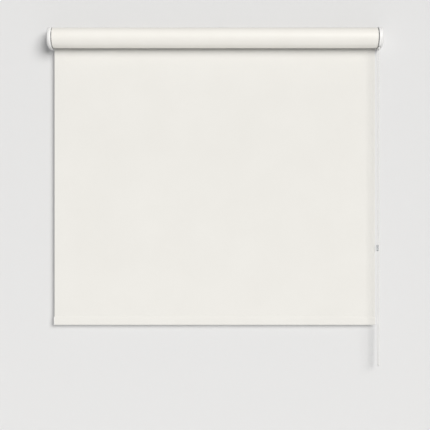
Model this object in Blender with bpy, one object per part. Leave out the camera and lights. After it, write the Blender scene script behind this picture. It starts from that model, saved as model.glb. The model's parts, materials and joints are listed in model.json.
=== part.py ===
"""Cassette roller blind, fixed outside on a wall, worked by an endless bead chain on its right.

Metres. +X runs to the right along the blind, -Y out into the room, +Z up. The wall is the plane
y = 0, and z = 0 is the height of the roller's axis. The origin is on the wall face of the middle
mounting bracket. Sections are outlines in the plane across the blind, as (y, z) points, with
angles in degrees from +Y towards +Z. Distances along the blind are given for the right-hand end
and are mirrored by a side of -1 for the left-hand one.
"""

import math

import bmesh
import bpy
from mathutils import Matrix, Vector

MM = 0.001
GAP = 0.3 * MM  # between pieces that touch on the real blind

# Overall sizes
BLIND_WIDTH = 1200 * MM  # over the two end covers
CASSETTE_RADIUS = 36 * MM  # of the round front, half the cassette's height
AXIS_FROM_WALL = 41 * MM
BLIND_DROP = 991 * MM  # from under the cassette to the fabric's lower edge

# Along the blind, from each end inwards
COVER_DEPTH = 11 * MM
CUP_DEPTH = 8.2 * MM
CUP_FLOOR = 2.3 * MM
SHADOW_GAP = 3 * MM

# Cassette extrusions
RAIL_WALL = 1.6 * MM
RAIL_CORNER = 1.5 * MM
FASCIA_WALL = 1.6 * MM
LIP_WALL = 1.4 * MM
FASCIA_LIP_FROM_AXIS = 5 * MM
FASCIA_LIP_HEIGHT = 5 * MM
FOOT_REACH = 11.7 * MM
FOOT_LIP_HEIGHT = 5 * MM
PORT_PLAY = 0.4 * MM
PORT_WALL = 1.8 * MM
PORT_INSET = 3.0 * MM
PORT_SLOT = 2.0 * MM
PORT_OPENS_AT = 225

# Hinge bead along the rail's front lip, and the fascia's claw round it
BEAD_FROM_AXIS = 19 * MM
BEAD_BELOW_TOP = 3.5 * MM
BEAD_RADIUS = 1.5 * MM
CLAW_WALL = 1.4 * MM
CLAW_UPPER_END = 73
CLAW_LOWER_END = 322
HOOK_FROM_BEAD = 3.1 * MM

# Mounting brackets
BRACKET_SHEET = 2 * MM
BRACKET_WIDTH = 40 * MM
BRACKET_LOW = 14 * MM
BRACKET_BEND = 3 * MM
BRACKET_SPACING = 430 * MM
WALL_HOLE_RADIUS = 2.5 * MM
WALL_HOLE_SPACING = 22 * MM
WALL_HOLE_HEIGHT = 8 * MM

# End cups and domed covers
CAP_PROUD = 1.5 * MM
CAP_CORNER = 6 * MM
CUP_WALL = 2 * MM
COVER_WALL = 1.8 * MM
COVER_SKIRT = 1 * MM
RIB_WALL = 2 * MM
RIB_REACH = 6.5 * MM
RIB_FROM, RIB_TO = 100, 195  # ends above the fascia's lip as it swings
POST_WALL = 2.3 * MM
PEG_RADIUS = 2 * MM
PEG_CIRCLE = 25 * MM
PEG_ANGLES = (150, 210, 0)
HOLE_PLAY = 0.3 * MM

# Screws
SCREW_RADIUS = 1.6 * MM
SCREW_HEAD_RADIUS = 3.4 * MM
SCREW_HEAD = 2 * MM
SCREW_HEAD_SIDE = 1 * MM
SCREW_CROWN_RADIUS = 2.04 * MM
SCREW_LENGTH = 25 * MM

# Roller tube with its keyway, and the fabric's spline in it
TUBE_RADIUS = 19 * MM
TUBE_WALL = 1.2 * MM
TUBE_LIP = 1.0 * MM
KEY_MOUTH = 3 * MM
KEY_ROOM = 6 * MM
KEY_DEPTH = 2.2 * MM
TUBE_TO_CUP_IDLE = 3.5 * MM
SPLINE_PLAY = 0.3 * MM

# Fabric
FABRIC_THICK = 0.5 * MM
ROLL_THICK = 1.7 * MM
FABRIC_INSET = 0.5 * MM
HEM_HEIGHT = 38 * MM
HEM_WELD = 6 * MM
BAR_THICK = 3 * MM
BAR_HEIGHT = 25 * MM
PLUG_REACH = 8 * MM
PLUG_FLANGE = 2 * MM

# Idle end: plug, sprung pin and its coil spring
PLUG_LENGTH = 32 * MM
FLANGE_THICK = 1.7 * MM
PLUG_PLAY = 0.3 * MM
PIN_RADIUS = 4 * MM
PIN_NOSE = 1.2 * MM
PIN_SHOULDER = 2.1 * MM
PIN_COLLAR = 2.2 * MM
PIN_STEM_RADIUS = 2.4 * MM
PIN_STEM = 10 * MM
PIN_GUIDE = 4 * MM
PIN_END_GAP = 0.6 * MM
CHAMBER_PLAY = 0.4 * MM
CHAMBER_LENGTH = 22 * MM
SOCKET_WALL = 3.2 * MM
SOCKET_TO_PLUG = 0.6 * MM
PIN_WIRE = 0.9 * MM
PIN_SPRING_TURNS = 6

# Drive end: spindle, wrap springs, drum, chain wheel and guard
SPINDLE_RADIUS = 5.5 * MM
SPINDLE_LENGTH = 59 * MM
NECK_RADIUS = 4 * MM
NECK_SIDES = 6
DRUM_LENGTH = 50 * MM
DRUM_FLANGE = 2 * MM
DRUM_TO_GUARD = 0.9 * MM
WRAP_WIRE = 1.2 * MM
WRAP_INNER_PLAY = 0.5 * MM
WRAP_OUTER_PLAY = 0.8 * MM
WRAP_TURNS = 5
WRAP_LENGTH = 14 * MM
WRAP_STARTS = (8 * MM, 28 * MM)
WHEEL_CHEEK = 0.6 * MM
WHEEL_HUB_WALL = 3.2 * MM
WHEEL_PROUD = 0.6 * MM
BEAD_POCKETS = 16
CHAIN_PITCH = 6 * MM
CHAIN_BEAD = 4.5 * MM
CHAIN_CORE = 1.4 * MM
POCKET_PLAY = 0.25 * MM
SLOT_PLAY = 0.4 * MM
GUARD_WALL = 1.5 * MM
GUARD_PLATE = 1.4 * MM
GUARD_CLEARANCE = 2.3 * MM
GUARD_HOLE_PLAY = 1 * MM
GUARD_FROM, GUARD_TO = -5, 185
STRAND_PLAY = 1 * MM

# Chain connector
CONNECTOR_HEIGHT = -750 * MM
CONNECTOR_LENGTH = 22 * MM
CONNECTOR_WALL = 1.4 * MM
CONNECTOR_WAIST = 0.5 * MM
CONNECTOR_WAIST_HALF = 1.1 * MM
CONNECTOR_EASE = 1.65 * MM

# How finely round things are cut
FRONT_STEPS = 24
ROLL_ROUND = 48
ROUND = 40
SPINDLE_ROUND = 32
PIN_ROUND = 24
SMALL_ROUND = 16
DOME_STEPS = 6
DOME_CROWN = 0.5  # of a step, left flat
LONG_STRETCH = 40 * MM  # of the chain's route, past which no point is added

# The bead chain's route below the cassette, down the front strand and up the rear one,
# as (distance in front of the roller's axis, height).
CHAIN_ROUTE = (
    (15.28, -11.4), (15.28, -30), (15.28, -90), (15.28, -180), (15.28, -290), (15.28, -410),
    (15.28, -530), (15.28, -650), (15.28, -770), (15.28, -880), (15.28, -960), (15.2, -1020),
    (14.9, -1065), (14.2, -1100), (13.2, -1128), (12.3, -1146), (11.5, -1158.5), (9.81, -1164.5),
    (5.85, -1168.4), (0, -1170), (-5.85, -1168.4), (-9.81, -1164.5), (-11.5, -1158.5),
    (-12.3, -1146), (-13.2, -1128), (-14.2, -1100), (-14.9, -1065), (-15.2, -1020),
    (-15.28, -960), (-15.28, -880), (-15.28, -770), (-15.28, -650), (-15.28, -530),
    (-15.28, -410), (-15.28, -290), (-15.28, -180), (-15.28, -90), (-15.28, -30),
    (-15.28, -11.4),
)

# Worked out from the sizes above
AXIS_Y = -AXIS_FROM_WALL
AXIS = (AXIS_Y, 0.0)
RAIL_BACK = -BRACKET_SHEET - GAP
COVER_RIM_X = BLIND_WIDTH / 2 - COVER_DEPTH
CUP_OUTER_X = COVER_RIM_X - GAP
FLOOR_X = CUP_OUTER_X - CUP_FLOOR
CUP_EDGE_X = CUP_OUTER_X - CUP_DEPTH
RAIL_END_X = CUP_EDGE_X - SHADOW_GAP
CAP_RADIUS = CASSETTE_RADIUS + CAP_PROUD
CAP_BACK = RAIL_BACK + CAP_PROUD
HINGE = (AXIS_Y + BEAD_FROM_AXIS, CASSETTE_RADIUS - BEAD_BELOW_TOP)
RAIL_FRONT = HINGE[0] + HOOK_FROM_BEAD + BRACKET_SHEET + GAP
PORT_BORE = SCREW_RADIUS + PORT_PLAY
PORT_OUTER = PORT_BORE + PORT_WALL
PORT_Y = RAIL_BACK - RAIL_WALL - PORT_INSET
PORT_Z = CASSETTE_RADIUS - RAIL_WALL - PORT_INSET
SCREW_HOLE = SCREW_RADIUS + HOLE_PLAY
WHEEL_WIDTH = CHAIN_BEAD + 2 * (POCKET_PLAY + WHEEL_CHEEK)
WHEEL_OUTER_X = FLOOR_X - GAP
WHEEL_INNER_X = WHEEL_OUTER_X - WHEEL_WIDTH
GUARD_INNER_X = WHEEL_INNER_X - GAP - GUARD_PLATE
TUBE_INNER = TUBE_RADIUS - TUBE_WALL
KEY_ROOF = TUBE_RADIUS - TUBE_LIP
KEY_FLOOR = KEY_ROOF - KEY_DEPTH
TUBE_LEFT = -(CUP_EDGE_X - TUBE_TO_CUP_IDLE)
TUBE_RIGHT = GUARD_INNER_X - DRUM_TO_GUARD - DRUM_FLANGE - GAP
FABRIC_LEFT = TUBE_LEFT + FABRIC_INSET
FABRIC_RIGHT = TUBE_RIGHT - FABRIC_INSET
ROLL_INNER = TUBE_RADIUS + GAP
ROLL_RADIUS = ROLL_INNER + ROLL_THICK
FABRIC_Y = AXIS_Y + ROLL_RADIUS + GAP + FABRIC_THICK / 2
HEM_LOW = -CASSETTE_RADIUS - BLIND_DROP
HEM_TOP = HEM_LOW + HEM_HEIGHT
PIN_COLLAR_RADIUS = PIN_RADIUS + PIN_SHOULDER
CHAMBER_RADIUS = PIN_COLLAR_RADIUS + CHAMBER_PLAY
PLUG_FACE_X = TUBE_LEFT - GAP - FLANGE_THICK
PITCH_RADIUS = CHAIN_PITCH * BEAD_POCKETS / (2 * math.pi)
CHAIN_X = (WHEEL_OUTER_X + WHEEL_INNER_X) / 2
DRUM_FACE_X = TUBE_RIGHT + GAP + DRUM_FLANGE
WHEEL_BORE = SPINDLE_RADIUS + HOLE_PLAY
WHEEL_HUB_RADIUS = WHEEL_BORE + WHEEL_HUB_WALL
WRAP_RADIUS = SPINDLE_RADIUS + WRAP_INNER_PLAY + WRAP_WIRE / 2
DRUM_BORE = WRAP_RADIUS + WRAP_WIRE / 2 + WRAP_OUTER_PLAY

# Colour, roughness and metallic value of each finish
LOOKS = {
    "cream_coat": ((0.87, 0.84, 0.78), 0.35, 0.0),
    "white_moulding": ((0.90, 0.89, 0.87), 0.40, 0.0),
    "zinc_steel": ((0.62, 0.63, 0.65), 0.40, 1.0),
    "mill_aluminium": ((0.75, 0.76, 0.77), 0.35, 1.0),
    "spring_steel": ((0.45, 0.46, 0.48), 0.30, 1.0),
    "grey_moulding": ((0.55, 0.56, 0.57), 0.50, 0.0),
    "blind_fabric": ((0.83, 0.81, 0.77), 0.85, 0.0),
    "white_chain": ((0.88, 0.87, 0.85), 0.35, 0.0),
    "clear_moulding": ((0.85, 0.87, 0.88), 0.15, 0.0),
}


def arc(centre, radius, start, end, steps):
    """Points round a circle in a section, from one angle to another."""
    points = []
    for i in range(steps + 1):
        angle = math.radians(start + (end - start) * i / steps)
        points.append((centre[0] + radius * math.cos(angle), centre[1] + radius * math.sin(angle)))
    return points


def angle_over(rise, radius):
    """The angle, in degrees, whose sine is rise over radius."""
    return math.degrees(math.asin(rise / radius))


def box_outline(low, high):
    return [low, (high[0], low[1]), high, (low[0], high[1])]


def cap_outline(radius, back, corner):
    """Round front about the roller's axis, flat top, foot and back, rounded rear corners."""
    return (
        arc(AXIS, radius, 90, 270, FRONT_STEPS)
        + arc((back - corner, corner - radius), corner, 270, 360, 4)
        + arc((back - corner, radius - corner), corner, 0, 90, 4)
    )


def run_along(outlines, x_from, x_to):
    """A closed solid run along X. The first outline is its outside and the others are holes."""
    shape = bmesh.new()
    for outline in outlines:
        corners = [shape.verts.new((x_from, y, z)) for y, z in outline]
        for i, corner in enumerate(corners):
            shape.edges.new((corner, corners[(i + 1) % len(corners)]))
    bmesh.ops.triangle_fill(shape, use_beauty=True, edges=shape.edges[:])
    moved = bmesh.ops.extrude_face_region(shape, geom=shape.faces[:])["geom"]
    far_end = [item for item in moved if isinstance(item, bmesh.types.BMVert)]
    bmesh.ops.translate(shape, verts=far_end, vec=(x_to - x_from, 0, 0))
    return shape


def turned(profile, centre=(0, AXIS_Y, 0), axis=(1, 0, 0), segments=ROUND, ring=False):
    """A turned solid. The profile is (distance along the axis, radius), a closed ring or from
    the axis back to the axis."""
    along = Vector(axis)
    outward = Vector((0, 0, 1)) if along.z == 0 else Vector((1, 0, 0))
    shape = bmesh.new()
    points = [shape.verts.new(Vector(centre) + along * a + outward * r) for a, r in profile]
    followed_by = points[1:] + points[:1] if ring else points[1:]
    edges = [shape.edges.new(pair) for pair in zip(points, followed_by)]
    bmesh.ops.spin(shape, geom=points + edges, cent=centre, axis=axis,
                   angle=2 * math.pi, steps=segments, use_merge=True)
    bmesh.ops.remove_doubles(shape, verts=shape.verts[:], dist=1e-7)
    return shape


def rod(start, end, radius, centre=(0, AXIS_Y, 0), axis=(1, 0, 0), segments=SMALL_ROUND):
    return turned(((start, 0), (start, radius), (end, radius), (end, 0)), centre, axis, segments)


def block(low, high):
    """A box between two corners."""
    shape = bmesh.new()
    size = Vector(high) - Vector(low)
    place = Matrix.Translation((Vector(low) + Vector(high)) / 2) @ Matrix.Diagonal(size.to_4d())
    place[3][3] = 1
    bmesh.ops.create_cube(shape, size=1, matrix=place)
    return shape


def give_look(thing, look):
    """Adds a material of its own to a piece's data."""
    colour, roughness, metallic = LOOKS[look]
    material = bpy.data.materials.new(thing.name + "_finish")
    material.use_nodes = True
    shader = material.node_tree.nodes["Principled BSDF"]
    shader.inputs["Base Color"].default_value = (*colour, 1)
    shader.inputs["Roughness"].default_value = roughness
    shader.inputs["Metallic"].default_value = metallic
    thing.materials.append(material)


def make_mesh(name, shapes):
    """One mesh from closed shapes given in world coordinates."""
    whole = bpy.data.meshes.new(name)
    gathered = bmesh.new()
    for shape in shapes:
        bmesh.ops.recalc_face_normals(shape, faces=shape.faces[:])
        shape.to_mesh(whole)
        shape.free()
        gathered.from_mesh(whole)
    gathered.to_mesh(whole)
    gathered.free()
    return whole


def add_part(name, shape, look, origin=(0, 0, 0), parent=None):
    """A named piece from a shape in world coordinates, with its origin where it turns or slides."""
    mesh = make_mesh(name, [shape])
    give_look(mesh, look)
    mesh.transform(Matrix.Translation(-Vector(origin)))
    mesh.shade_smooth()
    mesh.set_sharp_from_angle(angle=math.radians(35))
    part = bpy.data.objects.new(name, mesh)
    bpy.context.collection.objects.link(part)
    part.parent = parent
    part.location = Vector(origin) - (parent.location if parent else Vector())
    return part


def add_empty(name, location):
    empty = bpy.data.objects.new(name, None)
    bpy.context.collection.objects.link(empty)
    empty.location = location
    return empty


def add_wire(name, points, diameter, look, resolution=0, parent=None):
    """A round bar or cord along points in world coordinates, with closed ends."""
    origin = parent.location if parent else Vector()
    curve = bpy.data.curves.new(name, "CURVE")
    curve.dimensions = "3D"
    curve.bevel_depth = diameter / 2
    curve.bevel_resolution = resolution
    curve.use_fill_caps = True
    give_look(curve, look)
    spline = curve.splines.new("POLY")
    spline.points.add(len(points) - 1)
    for point, place in zip(spline.points, points):
        point.co = (*(Vector(place) - origin), 1)
    wire = bpy.data.objects.new(name, curve)
    bpy.context.collection.objects.link(wire)
    wire.parent = parent
    return wire


def combine(part, operation, shapes):
    """A live Boolean of the shapes, given in world coordinates, on a piece."""
    name = f"{part.name}_{operation.lower()}_{len(part.modifiers)}"
    tool = bpy.data.objects.new(name, make_mesh(name, shapes))
    bpy.context.collection.objects.link(tool)
    tool.hide_render = True
    tool.display_type = "WIRE"
    modifier = part.modifiers.new(operation.title(), "BOOLEAN")
    modifier.operation = operation
    modifier.solver = "EXACT"
    modifier.object = tool


def join_on(part, *shapes):
    for shape in shapes:
        combine(part, "UNION", [shape])


def cut_out(part, *shapes):
    combine(part, "DIFFERENCE", shapes)


def screw_port():
    """The open ring in the rail's upper corner, from the top wall round to the back wall."""
    centre = (PORT_Y, PORT_Z)
    lean = angle_over(PORT_INSET, PORT_OUTER)
    outer_half = angle_over(PORT_SLOT / 2, PORT_OUTER)
    inner_half = angle_over(PORT_SLOT / 2, PORT_BORE)
    return (
        arc(centre, PORT_OUTER, 180 - lean, PORT_OPENS_AT - outer_half, 4)
        + arc(centre, PORT_BORE, PORT_OPENS_AT - inner_half, PORT_OPENS_AT + inner_half - 360, 12)
        + arc(centre, PORT_OUTER, PORT_OPENS_AT + outer_half, 270 + lean, 4)
    )


def make_back_rail():
    """Back and top of the cassette: an extrusion with screw ports, a foot and the hinge bead."""
    top, inner_top = CASSETTE_RADIUS, CASSETTE_RADIUS - RAIL_WALL
    foot_front = RAIL_BACK - FOOT_REACH
    half_lip = RAIL_WALL / 2
    neck = angle_over(half_lip, BEAD_RADIUS)
    port = screw_port()
    outline = [
        *arc((RAIL_BACK - RAIL_CORNER, RAIL_CORNER - top), RAIL_CORNER, 270, 360, 4),
        *arc((RAIL_BACK - RAIL_CORNER, top - RAIL_CORNER), RAIL_CORNER, 0, 90, 4),
        (RAIL_FRONT, top),
        (RAIL_FRONT, HINGE[1] + half_lip),
        *arc(HINGE, BEAD_RADIUS, neck, 360 - neck, 12),
        (RAIL_FRONT + RAIL_WALL, HINGE[1] - half_lip),
        (RAIL_FRONT + RAIL_WALL, inner_top),
        *port,
        *[(y, -z) for y, z in reversed(port)],
        (foot_front + RAIL_WALL, -inner_top),
        (foot_front + RAIL_WALL, FOOT_LIP_HEIGHT - top),
        (foot_front, FOOT_LIP_HEIGHT - top),
        (foot_front, -top),
    ]
    add_part("back_rail", run_along([outline], -RAIL_END_X, RAIL_END_X), "cream_coat")


def make_front_fascia():
    """The round front, hung by its claw on the rail's bead, with a lip along its lower edge."""
    outer, inner = CASSETTE_RADIUS, CASSETTE_RADIUS - FASCIA_WALL
    claw_inner = BEAD_RADIUS + GAP
    claw_outer = claw_inner + CLAW_WALL
    meets_top = 180 - angle_over(inner - HINGE[1], claw_outer)
    lip_back = AXIS_Y + FASCIA_LIP_FROM_AXIS
    rear_end = HINGE[0] + claw_outer * math.cos(math.radians(CLAW_UPPER_END))
    outline = [
        *arc(HINGE, claw_inner, CLAW_UPPER_END, CLAW_LOWER_END, 14),
        *arc(HINGE, claw_outer, CLAW_LOWER_END, meets_top, 10),
        *arc(AXIS, inner, 90, 270, FRONT_STEPS),
        (lip_back - LIP_WALL, -inner),
        (lip_back - LIP_WALL, FASCIA_LIP_HEIGHT - outer),
        (lip_back, FASCIA_LIP_HEIGHT - outer),
        (lip_back, -outer),
        *arc(AXIS, outer, 270, 90, FRONT_STEPS),
        (rear_end, outer),
    ]
    fascia_hinge = add_empty("fascia_hinge", (0, *HINGE))
    shape = run_along([outline], -RAIL_END_X, RAIL_END_X)
    add_part("front_fascia", shape, "cream_coat", (0, *HINGE), fascia_hinge)


def make_mounting_brackets():
    """Pressed steel: a wall leg with two holes, a top leg over the rail and a hook before it."""
    top_under = CASSETTE_RADIUS + GAP
    top_over = top_under + BRACKET_SHEET
    hook_rear = RAIL_FRONT - GAP
    hook_front = hook_rear - BRACKET_SHEET
    hook_low = HINGE[1] + RAIL_WALL / 2 + GAP
    inner_bend = BRACKET_BEND - BRACKET_SHEET
    bend = (-BRACKET_BEND, top_over - BRACKET_BEND)
    outline = [
        (-BRACKET_SHEET, -BRACKET_LOW),
        (0, -BRACKET_LOW),
        *arc(bend, BRACKET_BEND, 0, 90, 5),
        (hook_front, top_over),
        (hook_front, hook_low),
        (hook_rear, hook_low),
        (hook_rear, top_under),
        *arc(bend, inner_bend, 90, 0, 3),
    ]
    for name, middle in (("left", -BRACKET_SPACING), ("centre", 0), ("right", BRACKET_SPACING)):
        shape = run_along([outline], middle - BRACKET_WIDTH / 2, middle + BRACKET_WIDTH / 2)
        bracket = add_part("mounting_bracket_" + name, shape, "zinc_steel")
        holes = [
            rod(-2 * BRACKET_SHEET, BRACKET_SHEET, WALL_HOLE_RADIUS,
                (middle + side * WALL_HOLE_SPACING / 2, 0, WALL_HOLE_HEIGHT), (0, 1, 0))
            for side in (-1, 1)
        ]
        cut_out(bracket, *holes)


def port_centres():
    """The upper and lower screw ports, as names and places in the section."""
    return (("upper", (PORT_Y, PORT_Z)), ("lower", (PORT_Y, -PORT_Z)))


def peg_places():
    """Where a cover's snap pegs are, in the section."""
    return [arc(AXIS, PEG_CIRCLE, angle, angle, 1)[0] for angle in PEG_ANGLES]


def make_end_cup(name, side):
    """The moulding that closes one end: rim, floor, a rib inside the fascia and screw posts."""
    past = GAP + CUP_DEPTH
    rim = cap_outline(CAP_RADIUS, CAP_BACK, CAP_CORNER)
    hollow = cap_outline(CAP_RADIUS - CUP_WALL, CAP_BACK - CUP_WALL, CAP_CORNER - CUP_WALL)
    cup = add_part("end_cup_" + name, run_along([rim], side * CUP_EDGE_X, side * CUP_OUTER_X),
                   "white_moulding")
    cut_out(cup, run_along([hollow], side * (CUP_EDGE_X - past), side * FLOOR_X))
    rib_outer = CASSETTE_RADIUS - FASCIA_WALL - GAP
    rib = (arc(AXIS, rib_outer, RIB_FROM, RIB_TO, 20)
           + arc(AXIS, rib_outer - RIB_WALL, RIB_TO, RIB_FROM, 20))
    into_floor = side * (FLOOR_X + CUP_FLOOR / 2)
    join_on(cup, run_along([rib], side * (RAIL_END_X - RIB_REACH), into_floor))
    for _, (y, z) in port_centres():
        join_on(cup, rod(side * (RAIL_END_X + GAP), into_floor, SCREW_HOLE + POST_WALL, (0, y, z)))
    holes = [
        rod(side * (RAIL_END_X - past), side * (CUP_OUTER_X + past), SCREW_HOLE, (0, y, z))
        for _, (y, z) in port_centres()
    ]
    holes += [
        rod(side * (FLOOR_X - CUP_FLOOR / 2), side * (CUP_OUTER_X + CUP_FLOOR),
            PEG_RADIUS + HOLE_PLAY, (0, y, z))
        for y, z in peg_places()
    ]
    cut_out(cup, *holes)
    return cup


def add_pin_socket(cup, side):
    """A round blind socket for the idle pin, standing on the cup's floor."""
    mouth = side * (abs(PLUG_FACE_X) + SOCKET_TO_PLUG)
    bore = PIN_RADIUS + HOLE_PLAY
    join_on(cup, rod(mouth, side * (FLOOR_X + CUP_FLOOR / 2), bore + SOCKET_WALL, segments=ROUND))
    cut_out(cup, rod(mouth - side * CUP_FLOOR, side * FLOOR_X, bore))


def add_drive_openings(cup, side):
    """A six-sided hole for the spindle's neck and a notch in the rim for each chain strand."""
    neck = rod(side * (FLOOR_X - CUP_FLOOR), side * (CUP_OUTER_X + CUP_FLOOR),
               NECK_RADIUS + HOLE_PLAY, segments=NECK_SIDES)
    notches = []
    half = CHAIN_BEAD / 2 + STRAND_PLAY
    rim_inside = math.sqrt((CAP_RADIUS - CUP_WALL) ** 2 - (PITCH_RADIUS + half) ** 2)
    for strand in (-PITCH_RADIUS, PITCH_RADIUS):
        middle = AXIS_Y + strand
        ends = sorted((side * (CUP_EDGE_X - SHADOW_GAP), side * (FLOOR_X - GAP)))
        notches.append(block((ends[0], middle - half, -CAP_RADIUS - CUP_WALL),
                             (ends[1], middle + half, CUP_WALL - rim_inside)))
    cut_out(cup, neck)
    cut_out(cup, *notches)


def dome_ring(shape, x, share):
    """One ring of a cover: the cap's outline drawn in to a share of its size."""
    edge = cap_outline(CAP_RADIUS, CAP_BACK, CAP_CORNER)
    corners = [shape.verts.new((x, AXIS_Y + share * (y - AXIS_Y), share * z)) for y, z in edge]
    followed_by = corners[1:] + corners[:1]
    return corners, [shape.edges.new(pair) for pair in zip(corners, followed_by)]


def make_end_cover(name, side):
    """The cover: a thin shell with a straight skirt, a half-ellipse dome and three snap pegs."""
    shape = bmesh.new()
    dome_depth = COVER_DEPTH - COVER_SKIRT
    corners, edges = dome_ring(shape, side * COVER_RIM_X, 1)
    for i in range(DOME_STEPS):
        turn = math.pi / 2 * i / (DOME_STEPS - DOME_CROWN)
        x = side * (COVER_RIM_X + COVER_SKIRT + dome_depth * math.sin(turn))
        corners, inner_edges = dome_ring(shape, x, math.cos(turn))
        bmesh.ops.bridge_loops(shape, edges=edges + inner_edges)
        edges = inner_edges
    shape.faces.new(corners)
    cover = add_part("end_cover_" + name, shape, "white_moulding")
    wall = cover.modifiers.new("Wall", "SOLIDIFY")
    wall.thickness = COVER_WALL
    wall.use_even_offset = True
    for y, z in peg_places():
        edge = CAP_RADIUS if y < AXIS_Y else CAP_BACK - AXIS_Y
        rise = dome_depth * math.sqrt(1 - (PEG_CIRCLE / edge) ** 2)
        peg_top = COVER_RIM_X + COVER_SKIRT + rise - COVER_WALL / 2
        join_on(cover, rod(side * (FLOOR_X + GAP), side * peg_top, PEG_RADIUS, (0, y, z)))


def make_screw(name, side, centre, length):
    """A pan-headed screw driven in from outside the cup's floor."""
    under = CUP_OUTER_X + GAP
    crown = under + SCREW_HEAD
    profile = [
        (side * (under - length), 0),
        (side * (under - length), SCREW_RADIUS / 2),
        (side * (under - length + SCREW_RADIUS), SCREW_RADIUS),
        (side * under, SCREW_RADIUS),
        (side * under, SCREW_HEAD_RADIUS),
        (side * (under + SCREW_HEAD_SIDE), SCREW_HEAD_RADIUS),
        (side * crown, SCREW_CROWN_RADIUS),
        (side * crown, 0),
    ]
    add_part(name, turned(profile, (0, *centre), segments=SMALL_ROUND), "zinc_steel")


def make_cassette_ends():
    """Both ends: cup, cover and the screws into the rail."""
    for name, side in (("left", -1), ("right", 1)):
        cup = make_end_cup(name, side)
        if side < 0:
            add_pin_socket(cup, side)
        else:
            add_drive_openings(cup, side)
        make_end_cover(name, side)
        for height, centre in port_centres():
            make_screw(f"cup_screw_{name}_{height}", side, centre, SCREW_LENGTH)


def key_cutter(x_from, x_to):
    """The room that a piece inside the tube leaves for the tube's key."""
    half = KEY_ROOM / 2 + TUBE_WALL + PLUG_PLAY
    low = KEY_FLOOR - TUBE_WALL - PLUG_PLAY
    return run_along([box_outline((AXIS_Y - half, low), (AXIS_Y + half, TUBE_RADIUS))],
                     x_from, x_to)


def make_roller_tube(roller_axis):
    """The tube, with a mouth along its top that opens into the room for the fabric's spline."""
    mouth, room = KEY_MOUTH / 2, KEY_ROOM / 2
    key = room + TUBE_WALL
    mouth_angle = angle_over(mouth, TUBE_RADIUS)
    key_angle = angle_over(key, TUBE_INNER)
    outside = arc(AXIS, TUBE_RADIUS, 90 + mouth_angle, 450 - mouth_angle, ROUND)
    for half, height in ((mouth, KEY_ROOF), (room, KEY_ROOF), (room, KEY_FLOOR),
                         (-room, KEY_FLOOR), (-room, KEY_ROOF), (-mouth, KEY_ROOF)):
        outside.append((AXIS_Y + half, height))
    inside = arc(AXIS, TUBE_INNER, 90 + key_angle, 450 - key_angle, ROUND)
    for half in (key, -key):
        inside.append((AXIS_Y + half, KEY_FLOOR - TUBE_WALL))
    shape = run_along([outside, inside], TUBE_LEFT, TUBE_RIGHT)
    add_part("roller_tube", shape, "mill_aluminium", roller_axis.location, roller_axis)
    half = room - SPLINE_PLAY
    strip = box_outline((AXIS_Y - half, KEY_FLOOR + SPLINE_PLAY),
                        (AXIS_Y + half, KEY_ROOF - SPLINE_PLAY))
    add_part("fabric_spline", run_along([strip], FABRIC_LEFT, FABRIC_RIGHT), "white_moulding",
             roller_axis.location, roller_axis)


def make_fabric_roll(roller_axis):
    """The fabric wound on the tube."""
    profile = [(FABRIC_LEFT, ROLL_INNER), (FABRIC_LEFT, ROLL_RADIUS),
               (FABRIC_RIGHT, ROLL_RADIUS), (FABRIC_RIGHT, ROLL_INNER)]
    shape = turned(profile, segments=ROLL_ROUND, ring=True)
    add_part("fabric_roll", shape, "blind_fabric", roller_axis.location, roller_axis)


def helix(x_from, x_to, radius, turns, per_turn=10):
    """Points of a coil spring round the roller's axis."""
    points = []
    for i in range(turns * per_turn + 1):
        share = i / (turns * per_turn)
        angle = 2 * math.pi * share * turns
        points.append((x_from + (x_to - x_from) * share,
                       AXIS_Y + radius * math.cos(angle), radius * math.sin(angle)))
    return points


def make_idle_end(roller_axis):
    """Plug in the tube's left end, with a sprung pin that reaches into the cup's socket."""
    body = TUBE_INNER - PLUG_PLAY
    inner_face = TUBE_LEFT - GAP
    chamber_start = inner_face + PIN_GUIDE
    chamber_end = chamber_start + CHAMBER_LENGTH
    plug_end = inner_face + PLUG_LENGTH
    bore = PIN_RADIUS + HOLE_PLAY
    profile = [
        (chamber_end, 0), (chamber_end, CHAMBER_RADIUS), (chamber_start, CHAMBER_RADIUS),
        (chamber_start, bore), (PLUG_FACE_X, bore), (PLUG_FACE_X, TUBE_RADIUS - GAP),
        (inner_face, TUBE_RADIUS - GAP), (inner_face, body), (plug_end, body), (plug_end, 0),
    ]
    shape = turned(profile)
    plug = add_part("idle_plug", shape, "grey_moulding", roller_axis.location, roller_axis)
    cut_out(plug, key_cutter(inner_face, plug_end + PLUG_LENGTH))

    pin_end = -FLOOR_X + PIN_END_GAP
    collar_start = chamber_start + GAP
    collar_end = collar_start + PIN_COLLAR
    stem_end = collar_end + PIN_STEM
    pin_axis = add_empty("idle_pin_guide", (collar_start, AXIS_Y, 0))
    pin = turned([
        (pin_end, 0), (pin_end, PIN_RADIUS - PIN_NOSE), (pin_end + PIN_NOSE, PIN_RADIUS),
        (collar_start, PIN_RADIUS), (collar_start, PIN_COLLAR_RADIUS),
        (collar_end, PIN_COLLAR_RADIUS), (collar_end, PIN_STEM_RADIUS),
        (stem_end, PIN_STEM_RADIUS), (stem_end, 0),
    ], segments=PIN_ROUND)
    add_part("idle_pin", pin, "zinc_steel", pin_axis.location, pin_axis)
    spring_radius = (PIN_STEM_RADIUS + CHAMBER_RADIUS) / 2
    coil = helix(collar_end + PIN_WIRE, chamber_end - PIN_WIRE, spring_radius, PIN_SPRING_TURNS)
    add_wire("idle_pin_spring", coil, PIN_WIRE, "spring_steel", parent=roller_axis)


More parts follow.
